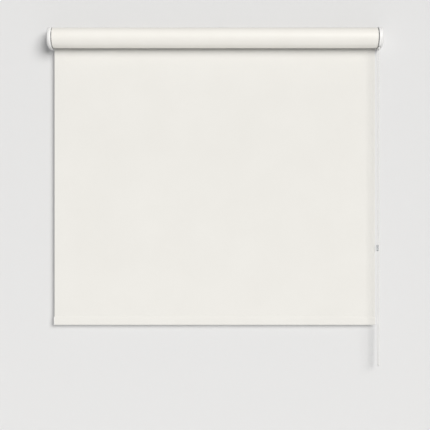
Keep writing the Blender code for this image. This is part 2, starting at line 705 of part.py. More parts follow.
def make_clutch(roller_axis):
    """Fixed spindle, two wrap springs on it, and the drum that turns the tube."""
    inner_end = WHEEL_OUTER_X - SPINDLE_LENGTH
    neck_end = CUP_OUTER_X - GAP
    spindle = turned([
        (inner_end, 0), (inner_end, SPINDLE_RADIUS - GAP), (inner_end + GAP, SPINDLE_RADIUS),
        (WHEEL_OUTER_X, SPINDLE_RADIUS), (WHEEL_OUTER_X, 0),
    ], segments=SPINDLE_ROUND)
    spindle_part = add_part("clutch_spindle", spindle, "grey_moulding")
    join_on(spindle_part, rod(WHEEL_OUTER_X - CUP_FLOOR, neck_end, NECK_RADIUS,
                              segments=NECK_SIDES))
    cut_out(spindle_part, rod(CUP_OUTER_X - SCREW_LENGTH - CUP_FLOOR, CUP_OUTER_X, SCREW_HOLE))
    make_screw("spindle_screw", 1, AXIS, SCREW_LENGTH)

    body = TUBE_INNER - PLUG_PLAY
    face = TUBE_RIGHT + GAP
    drum_end = face - DRUM_LENGTH
    drum = turned([
        (DRUM_FACE_X, DRUM_BORE), (DRUM_FACE_X, TUBE_RADIUS - GAP), (face, TUBE_RADIUS - GAP),
        (face, body), (drum_end, body), (drum_end, DRUM_BORE),
    ], ring=True)
    drum_part = add_part("clutch_drum", drum, "grey_moulding", roller_axis.location, roller_axis)
    cut_out(drum_part, key_cutter(drum_end - DRUM_LENGTH, face))
    for number, start in enumerate(WRAP_STARTS, 1):
        coil = helix(drum_end + start, drum_end + start + WRAP_LENGTH, WRAP_RADIUS, WRAP_TURNS)
        add_wire(f"wrap_spring_{number}", coil, WRAP_WIRE, "spring_steel", parent=roller_axis)


def make_chain_wheel(roller_axis):
    """The wheel, with a round pocket for each bead and a slot for the core between them."""
    rim = PITCH_RADIUS + WHEEL_PROUD
    slot_low = PITCH_RADIUS - CHAIN_CORE
    slot_half = CHAIN_CORE / 2 + SLOT_PLAY
    wheel = turned([
        (DRUM_FACE_X + GAP, WHEEL_BORE), (DRUM_FACE_X + GAP, WHEEL_HUB_RADIUS),
        (WHEEL_INNER_X, WHEEL_HUB_RADIUS), (WHEEL_INNER_X, rim), (CHAIN_X - slot_half, rim),
        (CHAIN_X - slot_half, slot_low), (CHAIN_X + slot_half, slot_low),
        (CHAIN_X + slot_half, rim), (WHEEL_OUTER_X, rim), (WHEEL_OUTER_X, WHEEL_BORE),
    ], segments=2 * BEAD_POCKETS, ring=True)
    wheel_part = add_part("chain_wheel", wheel, "grey_moulding", roller_axis.location, roller_axis)
    pockets = []
    for y, z in arc(AXIS, PITCH_RADIUS, 0, 360, BEAD_POCKETS)[:-1]:
        pocket = bmesh.new()
        bmesh.ops.create_uvsphere(pocket, u_segments=6, v_segments=4,
                                  radius=CHAIN_BEAD / 2 + POCKET_PLAY,
                                  matrix=Matrix.Translation((CHAIN_X, y, z)))
        pockets.append(pocket)
    cut_out(wheel_part, *pockets)


def make_chain_guard():
    """Keeps the chain in the wheel: a wall round the wheel's upper half and a plate inside it."""
    outer = PITCH_RADIUS + GUARD_CLEARANCE + GUARD_WALL + WHEEL_PROUD
    plate_far = GUARD_INNER_X + GUARD_PLATE
    hole = WHEEL_HUB_RADIUS + GUARD_HOLE_PLAY
    profile = [
        (GUARD_INNER_X, hole), (GUARD_INNER_X, outer),
        (WHEEL_OUTER_X, outer), (WHEEL_OUTER_X, outer - GUARD_WALL),
        (plate_far, outer - GUARD_WALL), (plate_far, hole),
    ]
    shape = bmesh.new()
    start = Matrix.Rotation(math.radians(GUARD_FROM), 4, "X")
    corners = [shape.verts.new(Vector((0, AXIS_Y, 0)) + start @ Vector((x, r, 0)))
               for x, r in profile]
    face = shape.faces.new(corners)
    bmesh.ops.spin(shape, geom=[face], cent=(0, AXIS_Y, 0), axis=(1, 0, 0),
                   angle=math.radians(GUARD_TO - GUARD_FROM), steps=20)
    add_part("chain_guard", shape, "white_moulding")


def smooth_route(points, per_stretch):
    """Points on a smooth curve through a route's own points."""
    places = [Vector(p) for p in points]
    padded = [2 * places[0] - places[1], *places, 2 * places[-1] - places[-2]]
    smooth = []
    for i, steps in enumerate(per_stretch):
        before, start, end, after = padded[i:i + 4]
        for k in range(steps):
            t = k / steps
            smooth.append(0.5 * (
                2 * start + (end - before) * t
                + (2 * before - 5 * start + 4 * end - after) * t ** 2
                + (3 * start - before - 3 * end + after) * t ** 3))
    return [*smooth, places[-1]]


def make_bead_chain():
    """The endless chain: the loop that hangs below, and the stretch over the wheel as its core."""
    route = [(CHAIN_X, AXIS_Y - ahead * MM, height * MM) for ahead, height in CHAIN_ROUTE]
    steps = [1 if abs(route[i + 1][2] - route[i][2]) > LONG_STRETCH else 2
             for i in range(len(route) - 1)]
    add_wire("bead_chain", smooth_route(route, steps), CHAIN_BEAD, "white_chain", resolution=2)
    hang = CHAIN_ROUTE[0][1] * MM + 2 * GAP
    over = [(CHAIN_X, y, z) for y, z in arc(AXIS, PITCH_RADIUS, 0, 180, 24)]
    core = [(CHAIN_X, over[0][1], hang), *over, (CHAIN_X, over[-1][1], hang)]
    add_wire("chain_core", core, CHAIN_CORE, "white_chain", resolution=1)


def make_chain_connector():
    """The clear barrel that joins the chain's two ends, round the rear strand."""
    bore = CHAIN_BEAD / 2 + GAP
    outer = bore + CONNECTOR_WALL
    half = CONNECTOR_LENGTH / 2
    centre = (CHAIN_X, AXIS_Y + PITCH_RADIUS, CONNECTOR_HEIGHT)
    upper = [
        (CONNECTOR_WAIST_HALF, outer - CONNECTOR_WAIST),
        (CONNECTOR_WAIST_HALF + CONNECTOR_EASE, outer),
        (half - CONNECTOR_EASE, outer), (half, outer - CONNECTOR_WAIST), (half, bore),
    ]
    profile = [(-along, radius) for along, radius in reversed(upper)] + upper
    shape = turned(profile, centre, (0, 0, 1), segments=PIN_ROUND, ring=True)
    add_part("chain_connector", shape, "clear_moulding", centre)


def hem_outline(half, low, taper_from, taper_to, top, top_half):
    """A flat pocket's outline about the fabric's plane: round foot, straight sides, thin top."""
    right = [(half, taper_from), (top_half, taper_to), (top_half, top)]
    left = [(-y, z) for y, z in reversed(right)]
    foot = arc((0, low + half), half, 180, 360, 8)
    return [(FABRIC_Y + y, z) for y, z in foot + right + left]


def bar_outline(low):
    """The flat bar's outline, with its corners eased."""
    half, ease = BAR_THICK / 2, BAR_THICK / 3
    corners = ((-half + ease, low), (half - ease, low), (half, low + ease),
               (half, low + BAR_HEIGHT - ease), (half - ease, low + BAR_HEIGHT),
               (-half + ease, low + BAR_HEIGHT), (-half, low + BAR_HEIGHT - ease),
               (-half, low + ease))
    return [(FABRIC_Y + y, z) for y, z in corners]


def make_fabric_drop_and_hem():
    """The hanging fabric, and the pocket at its foot with the weight bar and its end plugs."""
    hem_guide = add_empty("hem_guide", (0, FABRIC_Y, HEM_LOW))
    place = hem_guide.location
    half = FABRIC_THICK / 2
    drop = box_outline((FABRIC_Y - half, HEM_TOP + GAP), (FABRIC_Y + half, 0))
    add_part("fabric_drop", run_along([drop], FABRIC_LEFT, FABRIC_RIGHT), "blind_fabric",
             place, hem_guide)

    outer_half = BAR_THICK / 2 + GAP + FABRIC_THICK
    bar_low = HEM_LOW + FABRIC_THICK + GAP
    taper_from = bar_low + BAR_HEIGHT
    taper_to = HEM_TOP - HEM_WELD
    outside = hem_outline(outer_half, HEM_LOW, taper_from, taper_to, HEM_TOP, FABRIC_THICK)
    inside = hem_outline(outer_half - FABRIC_THICK, HEM_LOW + FABRIC_THICK, taper_from,
                         taper_to - FABRIC_THICK, taper_to, FABRIC_THICK / 4)
    add_part("fabric_hem", run_along([outside, inside], FABRIC_LEFT, FABRIC_RIGHT),
             "blind_fabric", place, hem_guide)

    bar_left, bar_right = FABRIC_LEFT + PLUG_REACH, FABRIC_RIGHT - PLUG_REACH
    bar = bar_outline(bar_low)
    add_part("hem_bar", run_along([bar], bar_left, bar_right), "mill_aluminium", place, hem_guide)
    flange = hem_outline(outer_half, HEM_LOW, taper_from, taper_from + outer_half,
                         taper_from + 2 * outer_half, FABRIC_THICK)
    for name, side, bar_end, edge in (("left", -1, bar_left, FABRIC_LEFT),
                                      ("right", 1, bar_right, FABRIC_RIGHT)):
        face = edge + side * GAP
        shape = run_along([flange], face, face + side * PLUG_FLANGE)
        plug = add_part("hem_plug_" + name, shape, "white_moulding", place, hem_guide)
        join_on(plug, run_along([bar], bar_end + side * GAP, face + side * PLUG_FLANGE / 2))


def main():
    for item in list(bpy.data.objects):
        bpy.data.objects.remove(item, do_unlink=True)
    make_back_rail()
    make_front_fascia()
    make_mounting_brackets()
    make_cassette_ends()
    roller_axis = add_empty("roller_axis", (0, AXIS_Y, 0))
    make_roller_tube(roller_axis)
    make_fabric_roll(roller_axis)
    make_idle_end(roller_axis)
    make_clutch(roller_axis)
    make_chain_wheel(roller_axis)
    make_chain_guard()
    make_bead_chain()
    make_chain_connector()
    make_fabric_drop_and_hem()


main()
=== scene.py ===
"""Finished surfaces, cloth and bead chain of a cassette roller blind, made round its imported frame.

Metres. +X runs along the blind, -Y out into the room, +Z up, and the wall is y = 0. Sections are
outlines in the plane across the blind, as (y, z) points, with angles in degrees from +Y towards
+Z. Distances along the blind are given for the right-hand end, and a side of -1 mirrors them.
"""

import json
import math

import bmesh
import bpy
from mathutils import Matrix, Vector

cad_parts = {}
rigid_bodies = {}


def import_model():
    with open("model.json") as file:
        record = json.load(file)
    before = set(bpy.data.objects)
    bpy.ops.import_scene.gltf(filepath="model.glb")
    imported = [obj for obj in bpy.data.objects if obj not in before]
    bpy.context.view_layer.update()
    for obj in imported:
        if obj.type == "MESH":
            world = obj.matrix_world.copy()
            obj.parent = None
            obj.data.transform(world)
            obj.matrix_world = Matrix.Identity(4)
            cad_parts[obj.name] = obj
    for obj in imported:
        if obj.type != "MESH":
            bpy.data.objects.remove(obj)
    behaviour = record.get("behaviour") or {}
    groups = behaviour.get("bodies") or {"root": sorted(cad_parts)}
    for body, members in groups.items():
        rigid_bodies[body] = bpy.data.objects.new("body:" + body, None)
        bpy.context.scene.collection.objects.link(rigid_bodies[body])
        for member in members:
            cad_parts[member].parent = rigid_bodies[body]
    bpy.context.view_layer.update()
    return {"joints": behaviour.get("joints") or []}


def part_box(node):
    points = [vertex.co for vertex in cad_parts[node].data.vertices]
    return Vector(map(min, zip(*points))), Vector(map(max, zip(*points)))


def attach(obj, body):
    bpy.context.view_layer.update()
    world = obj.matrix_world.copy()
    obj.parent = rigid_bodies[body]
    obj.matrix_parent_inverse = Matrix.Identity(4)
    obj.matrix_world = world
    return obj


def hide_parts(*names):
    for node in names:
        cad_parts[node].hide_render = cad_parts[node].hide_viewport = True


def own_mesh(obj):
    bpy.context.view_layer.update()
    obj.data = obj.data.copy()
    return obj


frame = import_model()

MM = 0.001
GAP = 0.3 * MM  # between neighbouring pieces
MERGE = 0.002 * MM  # vertices this close after a cut become one
SAME_PLACE = 0.0001 * MM
SIDES = (("left", -1), ("right", 1))
JOINTS = {joint["name"]: joint for joint in frame["joints"]}

# Places read from the frame
AXIS = tuple(JOINTS["roller_spin"]["pos_m"][1:])
HINGE = tuple(JOINTS["fascia_swing"]["pos_m"][1:])
AXIS_Y = AXIS[0]
FASCIA_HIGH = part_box("front_fascia")[1]
RAIL_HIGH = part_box("back_rail")[1]
CUP_LOW, CUP_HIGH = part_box("end_cup_right")
COVER_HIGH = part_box("end_cover_right")[1]
ROLL_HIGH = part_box("fabric_roll")[1]
DROP_LOW, DROP_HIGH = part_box("fabric_drop")
HEM_LOW, HEM_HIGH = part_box("fabric_hem")
BAR_LOW, BAR_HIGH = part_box("hem_bar")
TUBE_LOW, TUBE_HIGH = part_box("roller_tube")
WHEEL_LOW, WHEEL_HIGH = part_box("chain_wheel")
GUARD_LOW, GUARD_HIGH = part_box("chain_guard")
CONNECTOR_LOW, CONNECTOR_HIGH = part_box("chain_connector")

# Cassette
RADIUS = FASCIA_HIGH.z
END_X = FASCIA_HIGH.x
RAIL_BACK = RAIL_HIGH.y
RAIL_WALL = 1.6 * MM
RAIL_CORNER = 1.5 * MM
LIP_WALL = 1.4 * MM
LIP_FROM_AXIS = 5 * MM
LIP_HEIGHT = 5 * MM
FOOT_REACH = 11.7 * MM
EDGE_EASE = 0.35 * MM
END_EASE = 0.15 * MM
BEAD_RADIUS = 1.5 * MM
CLAW_WALL = 1.4 * MM
CLAW_UPPER_END, CLAW_LOWER_END = 73, 322
HOOK_FROM_BEAD = 3.1 * MM
SCREW_RADIUS = 1.6 * MM
PORT_BORE = 2.0 * MM
PORT_OUTER = 3.8 * MM
PORT_INSET = 3.0 * MM
PORT_SLOT = 2.0 * MM
PORT_OPENS_AT = 225
PORT = (RAIL_BACK - RAIL_WALL - PORT_INSET, RADIUS - RAIL_WALL - PORT_INSET)
PORTS = (("upper", PORT), ("lower", (PORT[0], -PORT[1])))

# Brackets
BRACKET_SHEET = 2 * MM
BRACKET_BEND = 3 * MM
BRACKET_CORNER = 3 * MM
WALL_HOLE_RADIUS = 2.5 * MM
WALL_HOLE_SPACING = 22 * MM
WALL_HOLE_HEIGHT = 8 * MM
COUNTERSINK = 1.2 * MM
RAIL_FRONT = HINGE[0] + HOOK_FROM_BEAD + BRACKET_SHEET + GAP

# Cups and covers
CAP_RADIUS = CUP_HIGH.z
CAP_BACK = CUP_HIGH.y
CAP_CORNER = 6 * MM
CUP_OUTER_X = CUP_HIGH.x
CUP_DEPTH = 8.2 * MM
CUP_FLOOR = 2.3 * MM
CUP_WALL = 2 * MM
CUP_EDGE_X = CUP_OUTER_X - CUP_DEPTH
FLOOR_X = CUP_OUTER_X - CUP_FLOOR
RIM_EASE = 0.4 * MM
COVER_RIM_X = CUP_OUTER_X + GAP
COVER_WALL = 1.8 * MM
COVER_SKIRT = 1 * MM
EASE_BEND = 0.3  # where an ease's middle point lies, as a share of its width
RIB_WALL = 2 * MM
RIB_FROM, RIB_TO = 100, 195
RIB_BRIDGES = (96, 144, 198)  # the rib's windows lie between its bridges, in degrees
RIB_BRIDGE = 6
POST_WALL = 2.3 * MM
HOLE_PLAY = 0.3 * MM
PEG_RADIUS = 2 * MM
PEG_CIRCLE = 25 * MM
PEG_ANGLES = (150, 210, 0)
SOCKET_WALL = 3.2 * MM
STRAND_PLAY = 1 * MM  # round a strand of the chain

# Screws
SCREW_HEAD_RADIUS = 3.4 * MM
SCREW_HEAD = 2 * MM
SCREW_LENGTH = 25 * MM
SCREW_UNDER = CUP_OUTER_X + GAP
SCREW_CORE = 1.2 * MM
THREAD_PITCH = 1.1 * MM
THREAD_CREST_FROM, THREAD_CREST_TO, THREAD_ROOT_FROM = 0.4, 0.5, 0.8  # shares of the pitch
SCREW_CROWN_FLAT = 0.55  # share of the head's radius
RECESS_REACH = 1.7 * MM
RECESS_WIDTH = 0.8 * MM
RECESS_DEPTH = 1.2 * MM

# Roller
TUBE_RADIUS = 19 * MM
TUBE_WALL = 1.2 * MM
TUBE_INNER = TUBE_RADIUS - TUBE_WALL
TUBE_LIP = 1 * MM
KEY_MOUTH = 3 * MM
KEY_ROOM = 6 * MM
KEY_ROOF = TUBE_RADIUS - TUBE_LIP
KEY_FLOOR = KEY_ROOF - 2.2 * MM
KEY_ROOM_SHY = 0.1 * MM  # how far the key's room keeps off a flange
KEY_ROOM_PAST = 10 * MM  # how far its cut runs past the other end
STRIP_CORNER = 0.5 * MM
PLUG_PLAY = 0.3 * MM
PLUG_GROOVES = (7 * MM, 14 * MM, 21 * MM)  # from the flange
GROOVE_WIDTH = 3 * MM
GROOVE_DEPTH = 0.8 * MM
TUBE_LEFT, TUBE_RIGHT = TUBE_LOW.x, TUBE_HIGH.x
PLUG_BODY = TUBE_INNER - PLUG_PLAY
PLUG_RIM = TUBE_RADIUS - GAP

# Idle end
PIN_RADIUS = 4 * MM
PIN_NOSE = 1.2 * MM
PIN_STEM = 2.4 * MM
COLLAR_RADIUS = 6.1 * MM
COLLAR_LENGTH = 2.2 * MM
CHAMBER_RADIUS = 6.5 * MM
CHAMBER_WALL = 4 * MM
IDLE_EASE = 0.4 * MM
PIN_SPRING_WIRE = 0.9 * MM
PIN_SPRING_TURNS = 7
PIN_SPRING_CLOSING = 0.45

# Cloth
THREAD = 0.55 * MM
CLOTH = 0.5 * MM
PLY = 0.22 * MM
FABRIC_LEFT, FABRIC_RIGHT = DROP_LOW.x, DROP_HIGH.x
FABRIC_Y = (DROP_LOW.y + DROP_HIGH.y) / 2
WOUND_CLOTH = 0.48 * MM
ROLL_TURNS = 2.25
HEM_TOP = HEM_HIGH.z
HEM_FOOT = HEM_LOW.z
HEM_WELD = 6 * MM
WELD_LINES = 9
WELD_GROOVE = 0.18 * MM
HEM_SHOULDER_SHARE, HEM_SHOULDER_RISE = 0.86, 1.2 * MM  # share of the hem's half thickness
HEM_NECK_SHARE, HEM_NECK_DROP = 1.15, 0.8 * MM  # share of the cloth's thickness, as the lip's
HEM_LIP_SHARE = 0.6
BAR_CORNER = 1 * MM
BAR_EASE = 0.3 * MM
PLUG_EASE = 0.25 * MM
PLUG_FLANGE = 2 * MM
PLY_PLAY = 0.01 * MM
PLY_TUCK = 0.5 * MM
LINING_TOP = -9 * MM
LINING_KEPT = 0.036  # share of its height with the blind fully raised
SWAY = 0.09 * MM
SWAY_WAVES = ((1, 2.3, 0.7), (0.6, 5.1, 2.1))  # share of the sway, waves across, phase
TRAVEL_UP = JOINTS["blind_travel"]["range_m"][1]

# Drive
SPINDLE_RADIUS = 5.5 * MM
NECK_RADIUS = 4 * MM
NECK_SIDES = 6
CLUTCH_EASE = 0.3 * MM
DRUM_BORE = 8 * MM
FLUTE_RADIUS = 1.5 * MM
FLUTE_ANGLES = (150, 210, 270, 330, 30)
FLUTE_FROM_FACE = 4 * MM
WRAP_WIRE = 1.2 * MM
WRAP_TURNS = 9
WHEEL_BORE = SPINDLE_RADIUS + HOLE_PLAY
WHEEL_HUB = WHEEL_BORE + 3.2 * MM
WHEEL_EASE = 0.25 * MM
RIM_ABOVE_PITCH = 0.6 * MM
CORE_PLAY = 0.4 * MM
POCKET_PLAY = 0.25 * MM
GUARD_WALL = 1.5 * MM
GUARD_PLATE = 1.4 * MM
GUARD_PLAY = 1 * MM
GUARD_FROM, GUARD_SWEEP = -5, 190  # degrees
CHAIN_BEAD = 4.5 * MM
CHAIN_CORE = 1.4 * MM
CHAIN_PITCH = 6 * MM
BEAD_POCKETS = 16
PITCH_RADIUS = CHAIN_PITCH * BEAD_POCKETS / (2 * math.pi)
CHAIN_X = (CONNECTOR_LOW.x + CONNECTOR_HIGH.x) / 2

# The connector's upper half, as millimetres from its middle or its end and millimetres inside
# its widest part
CONNECTOR_WAIST = ((0, 0.8), (0.5, 0.8), (0.9, 0.5), (2.6, 0.1), (3.2, 0))
CONNECTOR_END = ((-1.8, 0), (-0.9, 0.2), (-0.3, 0.5), (0, 0.7))
CONNECTOR_MOUTH = ((0, -0.2), (-0.3, 0))

# How finely round things are cut
FRONT_STEPS = 96
FINE_ROUND = 96
GUARD_STEPS = 64
ROUND = 48
SMALL_ROUND = 32
CLAW_STEPS = 30
COIL_STEPS = 28
DOME_STEPS = 26
BEAD_STEPS = 24
HEM_STEPS = 20
BEND_STEPS = 12
PORT_STEPS = 10
CORNER_STEPS = 8
ROUTE_STEPS = 8
CROWN_STEPS = 7
RAIL_CORNER_STEPS = 6
POCKET_STEPS = 3
CHAIN_BEAD_AROUND, CHAIN_BEAD_UP = 10, 6
CLOTH_ACROSS, CLOTH_DOWN = 96, 24

# Edges sharper than this, in degrees, stay sharp
CREASE, SMOOTH_CREASE = 32, 60

# How squarely a face has to face an end or the back to count as part of it
END_FACING, BACK_FACING = 0.9, 0.5

# The chain's route below the cassette, down the front strand and up the rear one, as
# (millimetres in front of the roller's axis, millimetres above it).
CHAIN_ROUTE = (
    (15.28, -11.4), (15.28, -30), (15.28, -90), (15.28, -180), (15.28, -290), (15.28, -410),
    (15.28, -530), (15.28, -650), (15.28, -770), (15.28, -880), (15.28, -960), (15.2, -1020),
    (14.9, -1065), (14.2, -1100), (13.2, -1128), (12.3, -1146), (11.5, -1158.5), (9.81, -1164.5),
    (5.85, -1168.4), (0, -1170), (-5.85, -1168.4), (-9.81, -1164.5), (-11.5, -1158.5),
    (-12.3, -1146), (-13.2, -1128), (-14.2, -1100), (-14.9, -1065), (-15.2, -1020),
    (-15.28, -960), (-15.28, -880), (-15.28, -770), (-15.28, -650), (-15.28, -530),
    (-15.28, -410), (-15.28, -290), (-15.28, -180), (-15.28, -90), (-15.28, -30),
    (-15.28, -11.4),
)

# Stage
VIEW_HEIGHT = -0.632
CAMERA_DISTANCE = 3.02
SEEN_WIDTH = 1.545
SENSOR = 36
FLOOR_Z = -2.05
WALL_Y = 1 * MM
STAGE_REACH = 5
WALL_SHADE, FLOOR_SHADE = 0.735, 0.64
STUDIO_COLOUR, STUDIO_STRENGTH = (0.98, 0.99, 1.0, 1), 0.225

# Suns: name, where it shines from, spread in degrees, strength and colour
SUNS = (
    ("broad_light", (0.55, -1, 0.40), 38, 2.80, (1.0, 0.99, 0.975)),
    ("low_fill", (0.1, -0.6, -1), 60, 0.8, (1.0, 1.0, 1.0)),
    ("back_fill", (-0.5, 1, 0.5), 60, 0.6, (0.97, 0.985, 1.0)),
)


# ---- Surfaces ----


class Value:
    """A shader socket whose sums and products add Math nodes."""

    def __init__(self, finish, socket):
        self.finish = finish
        self.socket = socket

    def maths(self, operation, *others):
        values = dict(enumerate((self, *others)))
        return self.finish.node("ShaderNodeMath", {"operation": operation}, values)

    def __add__(self, other):
        return self.maths("ADD", other)

    __radd__ = __add__

    def __mul__(self, other):
        return self.maths("MULTIPLY", other)

    __rmul__ = __mul__

    def __rsub__(self, other):
        return (self * -1) + other

    def clamped(self):
        return self.maths("MAXIMUM", 0.0).maths("MINIMUM", 1.0)


class Finish:
    """A material on the Principled shader, whose other sockets keep one number all over."""

    def __init__(self, name, constants):
        self.material = bpy.data.materials.new(name)
        self.material.use_nodes = True
        self.tree = self.material.node_tree
        self.shader = self.tree.nodes["Principled BSDF"]
        for socket, value in constants.items():
            self.shader.inputs[socket].default_value = value

    def node(self, kind, settings, values, output=0):
        made = self.tree.nodes.new(kind)
        for key, setting in settings.items():
            setattr(made, key, setting)
        for key, value in values.items():
            self.join(value, made.inputs[key])
        return Value(self, made.outputs[output])

    def join(self, value, socket):
        if isinstance(value, Value):
            self.tree.links.new(value.socket, socket)
        else:
            socket.default_value = value

    def feed(self, socket, value):
        self.join(value, self.shader.inputs[socket])

    def place(self, stretch=(1, 1, 1)):
        """Object coordinates, stretched."""
        inputs = {"Vector": self.node("ShaderNodeTexCoord", {}, {}, "Object"), "Scale": stretch}
        return self.node("ShaderNodeMapping", {}, inputs)

    def axis(self, vector, index):
        return self.node("ShaderNodeSeparateXYZ", {}, {"Vector": vector}, index)

    def noise(self, scale, detail=2.0, rough=0.5, stretch=(1, 1, 1)):
        inputs = {"Vector": self.place(stretch), "Scale": scale, "Detail": detail,
                  "Roughness": rough}
        return self.node("ShaderNodeTexNoise", {"normalize": True}, inputs)

    def spread(self, value, low, high):
        """A noise's middle range stretched over 0 to 1."""
        return self.node("ShaderNodeMapRange", {"clamp": True},
                         {"Value": value, "From Min": low, "From Max": high})

    def mix(self, share, first, second):
        first, second = ((*colour, 1) if isinstance(colour, tuple) else colour
                         for colour in (first, second))
        return self.node("ShaderNodeMix", {"data_type": "RGBA", "blend_type": "MIX"},
                         {0: share, 6: first, 7: second}, 2)

    def dressed(self, colour, roughness, height, depth, strength):
        """The material, given a colour, a roughness and a relief of a depth in millimetres."""
        self.feed("Base Color", colour)
        self.feed("Roughness", roughness)
        inputs = {"Height": height, "Distance": depth * MM, "Strength": strength}
        self.feed("Normal", self.node("ShaderNodeBump", {}, inputs))
        return self.material


def powder_coat():
    """Satin cream powder coat: orange peel, a fine grain and a little dust on what faces up."""
    skin = Finish("cream_powder_coat", {"Specular IOR Level": 0.45, "Coat Roughness": 0.3})
    peel = skin.noise(620, 1.5)
    grain = skin.noise(4200, 1.0)
    cloud = skin.spread(skin.noise(14, 3.0), 0.3, 0.7)
    up = skin.axis(skin.node("ShaderNodeNewGeometry", {}, {}, "Normal"), 2)
    dust = up.clamped() * skin.spread(skin.noise(180, 4.0, 0.7), 0.45, 0.75)
    clean = skin.mix(cloud, (0.868, 0.846, 0.795), (0.880, 0.860, 0.812))
    skin.feed("Coat Weight", 0.12 - dust * 0.1)
    return skin.dressed(skin.mix(dust * 0.22, clean, (0.70, 0.68, 0.64)),
                        grain * 0.08 + cloud * 0.04 + dust * 0.2 + 0.48,
                        peel * 0.75 + grain * 0.25, 0.06, 0.5)


def white_moulding():
    """White ABS with the tool's fine spark texture and faint flow."""
    skin = Finish("white_moulded_plastic", {"Specular IOR Level": 0.5})
    spark = skin.noise(2600, rough=0.6)
    flow = skin.spread(skin.noise(45), 0.35, 0.65)
    handled = skin.spread(skin.noise(120, 5.0, 0.65), 0.5, 0.8)
    tint = skin.mix(flow, (0.905, 0.900, 0.885), (0.925, 0.920, 0.908))
    return skin.dressed(skin.mix(handled * 0.10, tint, (0.80, 0.78, 0.74)),
                        spark * 0.10 + handled * 0.06 + 0.30, spark, 0.03, 0.5)


def grey_moulding():
    """Matt grey acetal of clutch, wheel and idle plug, with faint swirls and polished rubs."""
    skin = Finish("grey_moulded_plastic", {"Specular IOR Level": 0.45})
    spark = skin.noise(2400, rough=0.6)
    flow = skin.noise(60, 3.0, stretch=(1, 3, 3))
    rubbed = skin.spread(skin.noise(90, 4.0), 0.55, 0.75)
    return skin.dressed(skin.mix(flow, (0.46, 0.47, 0.48), (0.56, 0.57, 0.58)),
                        0.58 - rubbed * 0.18 + spark * 0.06, spark, 0.04, 0.5)


def zinc_plate():
    """Bright zinc on pressed steel: spangle, a straw tint in places and rolling marks."""
    skin = Finish("zinc_plated_steel", {"Metallic": 1.0})
    spangle = skin.node("ShaderNodeTexVoronoi", {"feature": "F1"},
                        {"Vector": skin.place(), "Scale": 420.0}, "Color")
    facet = skin.axis(spangle, 0)
    straw = skin.spread(skin.noise(55, 3.0), 0.45, 0.7)
    rolled = skin.noise(90, 3.0, stretch=(1, 30, 30))
    plain = skin.mix(facet, (0.60, 0.62, 0.64), (0.68, 0.69, 0.71))
    return skin.dressed(skin.mix(straw * 0.35, plain, (0.70, 0.66, 0.54)),
                        facet * 0.10 + rolled * 0.12 + 0.26, rolled * 0.6 + facet * 0.4, 0.04, 0.4)


def mill_aluminium():
    """Uncoated extruded aluminium, with die lines that run along the blind."""
    skin = Finish("mill_aluminium", {"Metallic": 1.0})
    lines = skin.noise(12, 4.0, 0.7, (1, 180, 180))
    cloud = skin.noise(30, 3.0)
    return skin.dressed(skin.mix(cloud, (0.74, 0.75, 0.76), (0.82, 0.82, 0.82)),
                        lines * 0.22 + 0.22, lines, 0.05, 0.5)


def spring_wire():
    """Oiled spring steel: dark drawn wire with brown heat tint."""
    skin = Finish("oiled_spring_steel",
                  {"Metallic": 1.0, "Coat Weight": 0.3, "Coat Roughness": 0.12})
    tint = skin.spread(skin.noise(160, 3.0), 0.35, 0.7)
    drawn = skin.noise(3200)
    return skin.dressed(skin.mix(tint, (0.30, 0.31, 0.33), (0.38, 0.33, 0.27)),
                        drawn * 0.15 + 0.22, drawn, 0.02, 0.4)


def chain_plastic():
    """Glossy white beads, whose shade drifts a little along the chain."""
    skin = Finish("white_bead_plastic", {"Specular IOR Level": 0.5})
    shade = skin.spread(skin.noise(170, 1.0), 0.3, 0.7)
    fine = skin.noise(2500)
    return skin.dressed(skin.mix(shade, (0.86, 0.855, 0.835), (0.92, 0.915, 0.90)),
                        fine * 0.08 + 0.24, fine, 0.02, 0.3)


def clear_plastic():
    """Clear polycarbonate with a faint haze and fine scratches."""
    skin = Finish("clear_polycarbonate", {"Transmission Weight": 0.8, "IOR": 1.15})
    scratch = skin.noise(1500, 3.0, stretch=(1, 1, 0.1))
    haze = skin.noise(200)
    return skin.dressed(skin.mix(haze, (0.93, 0.95, 0.96), (0.97, 0.98, 0.985)),
                        scratch * 0.12 + haze * 0.05 + 0.03, scratch, 0.02, 0.3)


def woven_cloth(name, shaded_hollow_colour, light, depth):
    """Plain weave: the rounded backs of warp and weft threads, which pass over by turns. Its colour
    is painted darker in the hollows between threads as painted shade, over the cloth's own slub and
    cloud tone.
    """
    skin = Finish(name, {"Sheen Weight": 0.12, "Sheen Roughness": 0.5, "Specular IOR Level": 0.25})
    wander = skin.noise(35) * 0.5
    warp, weft = ((skin.axis(skin.place(), index) * (1 / THREAD) + wander) * math.pi
                  for index in (0, 2))
    warp, weft = warp.maths("SINE"), weft.maths("SINE")
    warp_on_top = (warp * weft).maths("GREATER_THAN", 0.0)
    warp_height = warp.maths("ABSOLUTE") * (weft.maths("ABSOLUTE") * 0.4 + 0.6)
    weft_height = weft.maths("ABSOLUTE") * (warp.maths("ABSOLUTE") * 0.4 + 0.6)
    height = warp_height * warp_on_top + weft_height * (1 - warp_on_top)
    slub, streak = (skin.spread(skin.noise(900, 1.0, stretch=along), 0.62, 0.8)
                    for along in ((0.05, 1, 1), (1, 1, 0.05)))
    cloud = skin.spread(skin.noise(6, 3.0), 0.3, 0.7)
    # painted shade: the colour darkens with thread height into the weave's hollows; slub and cloud
    # add the yarn's own tone
    return skin.dressed(skin.mix(height * 0.7 + cloud * 0.15 + slub * 0.1, shaded_hollow_colour, light),
                        0.92 - height * 0.12, height + slub * 0.4 + streak * 0.3, depth, 0.6)


COAT = powder_coat()
WHITE = white_moulding()
GREY = grey_moulding()
ZINC = zinc_plate()
ALUMINIUM = mill_aluminium()
SPRING = spring_wire()
BEADS = chain_plastic()
CLEAR = clear_plastic()
WEAVE = woven_cloth("woven_face", (0.76, 0.745, 0.705), (0.86, 0.85, 0.815), 0.12)
BACKING = woven_cloth("coated_back", (0.82, 0.81, 0.78), (0.86, 0.85, 0.83), 0.04)


# ---- Shapes ----


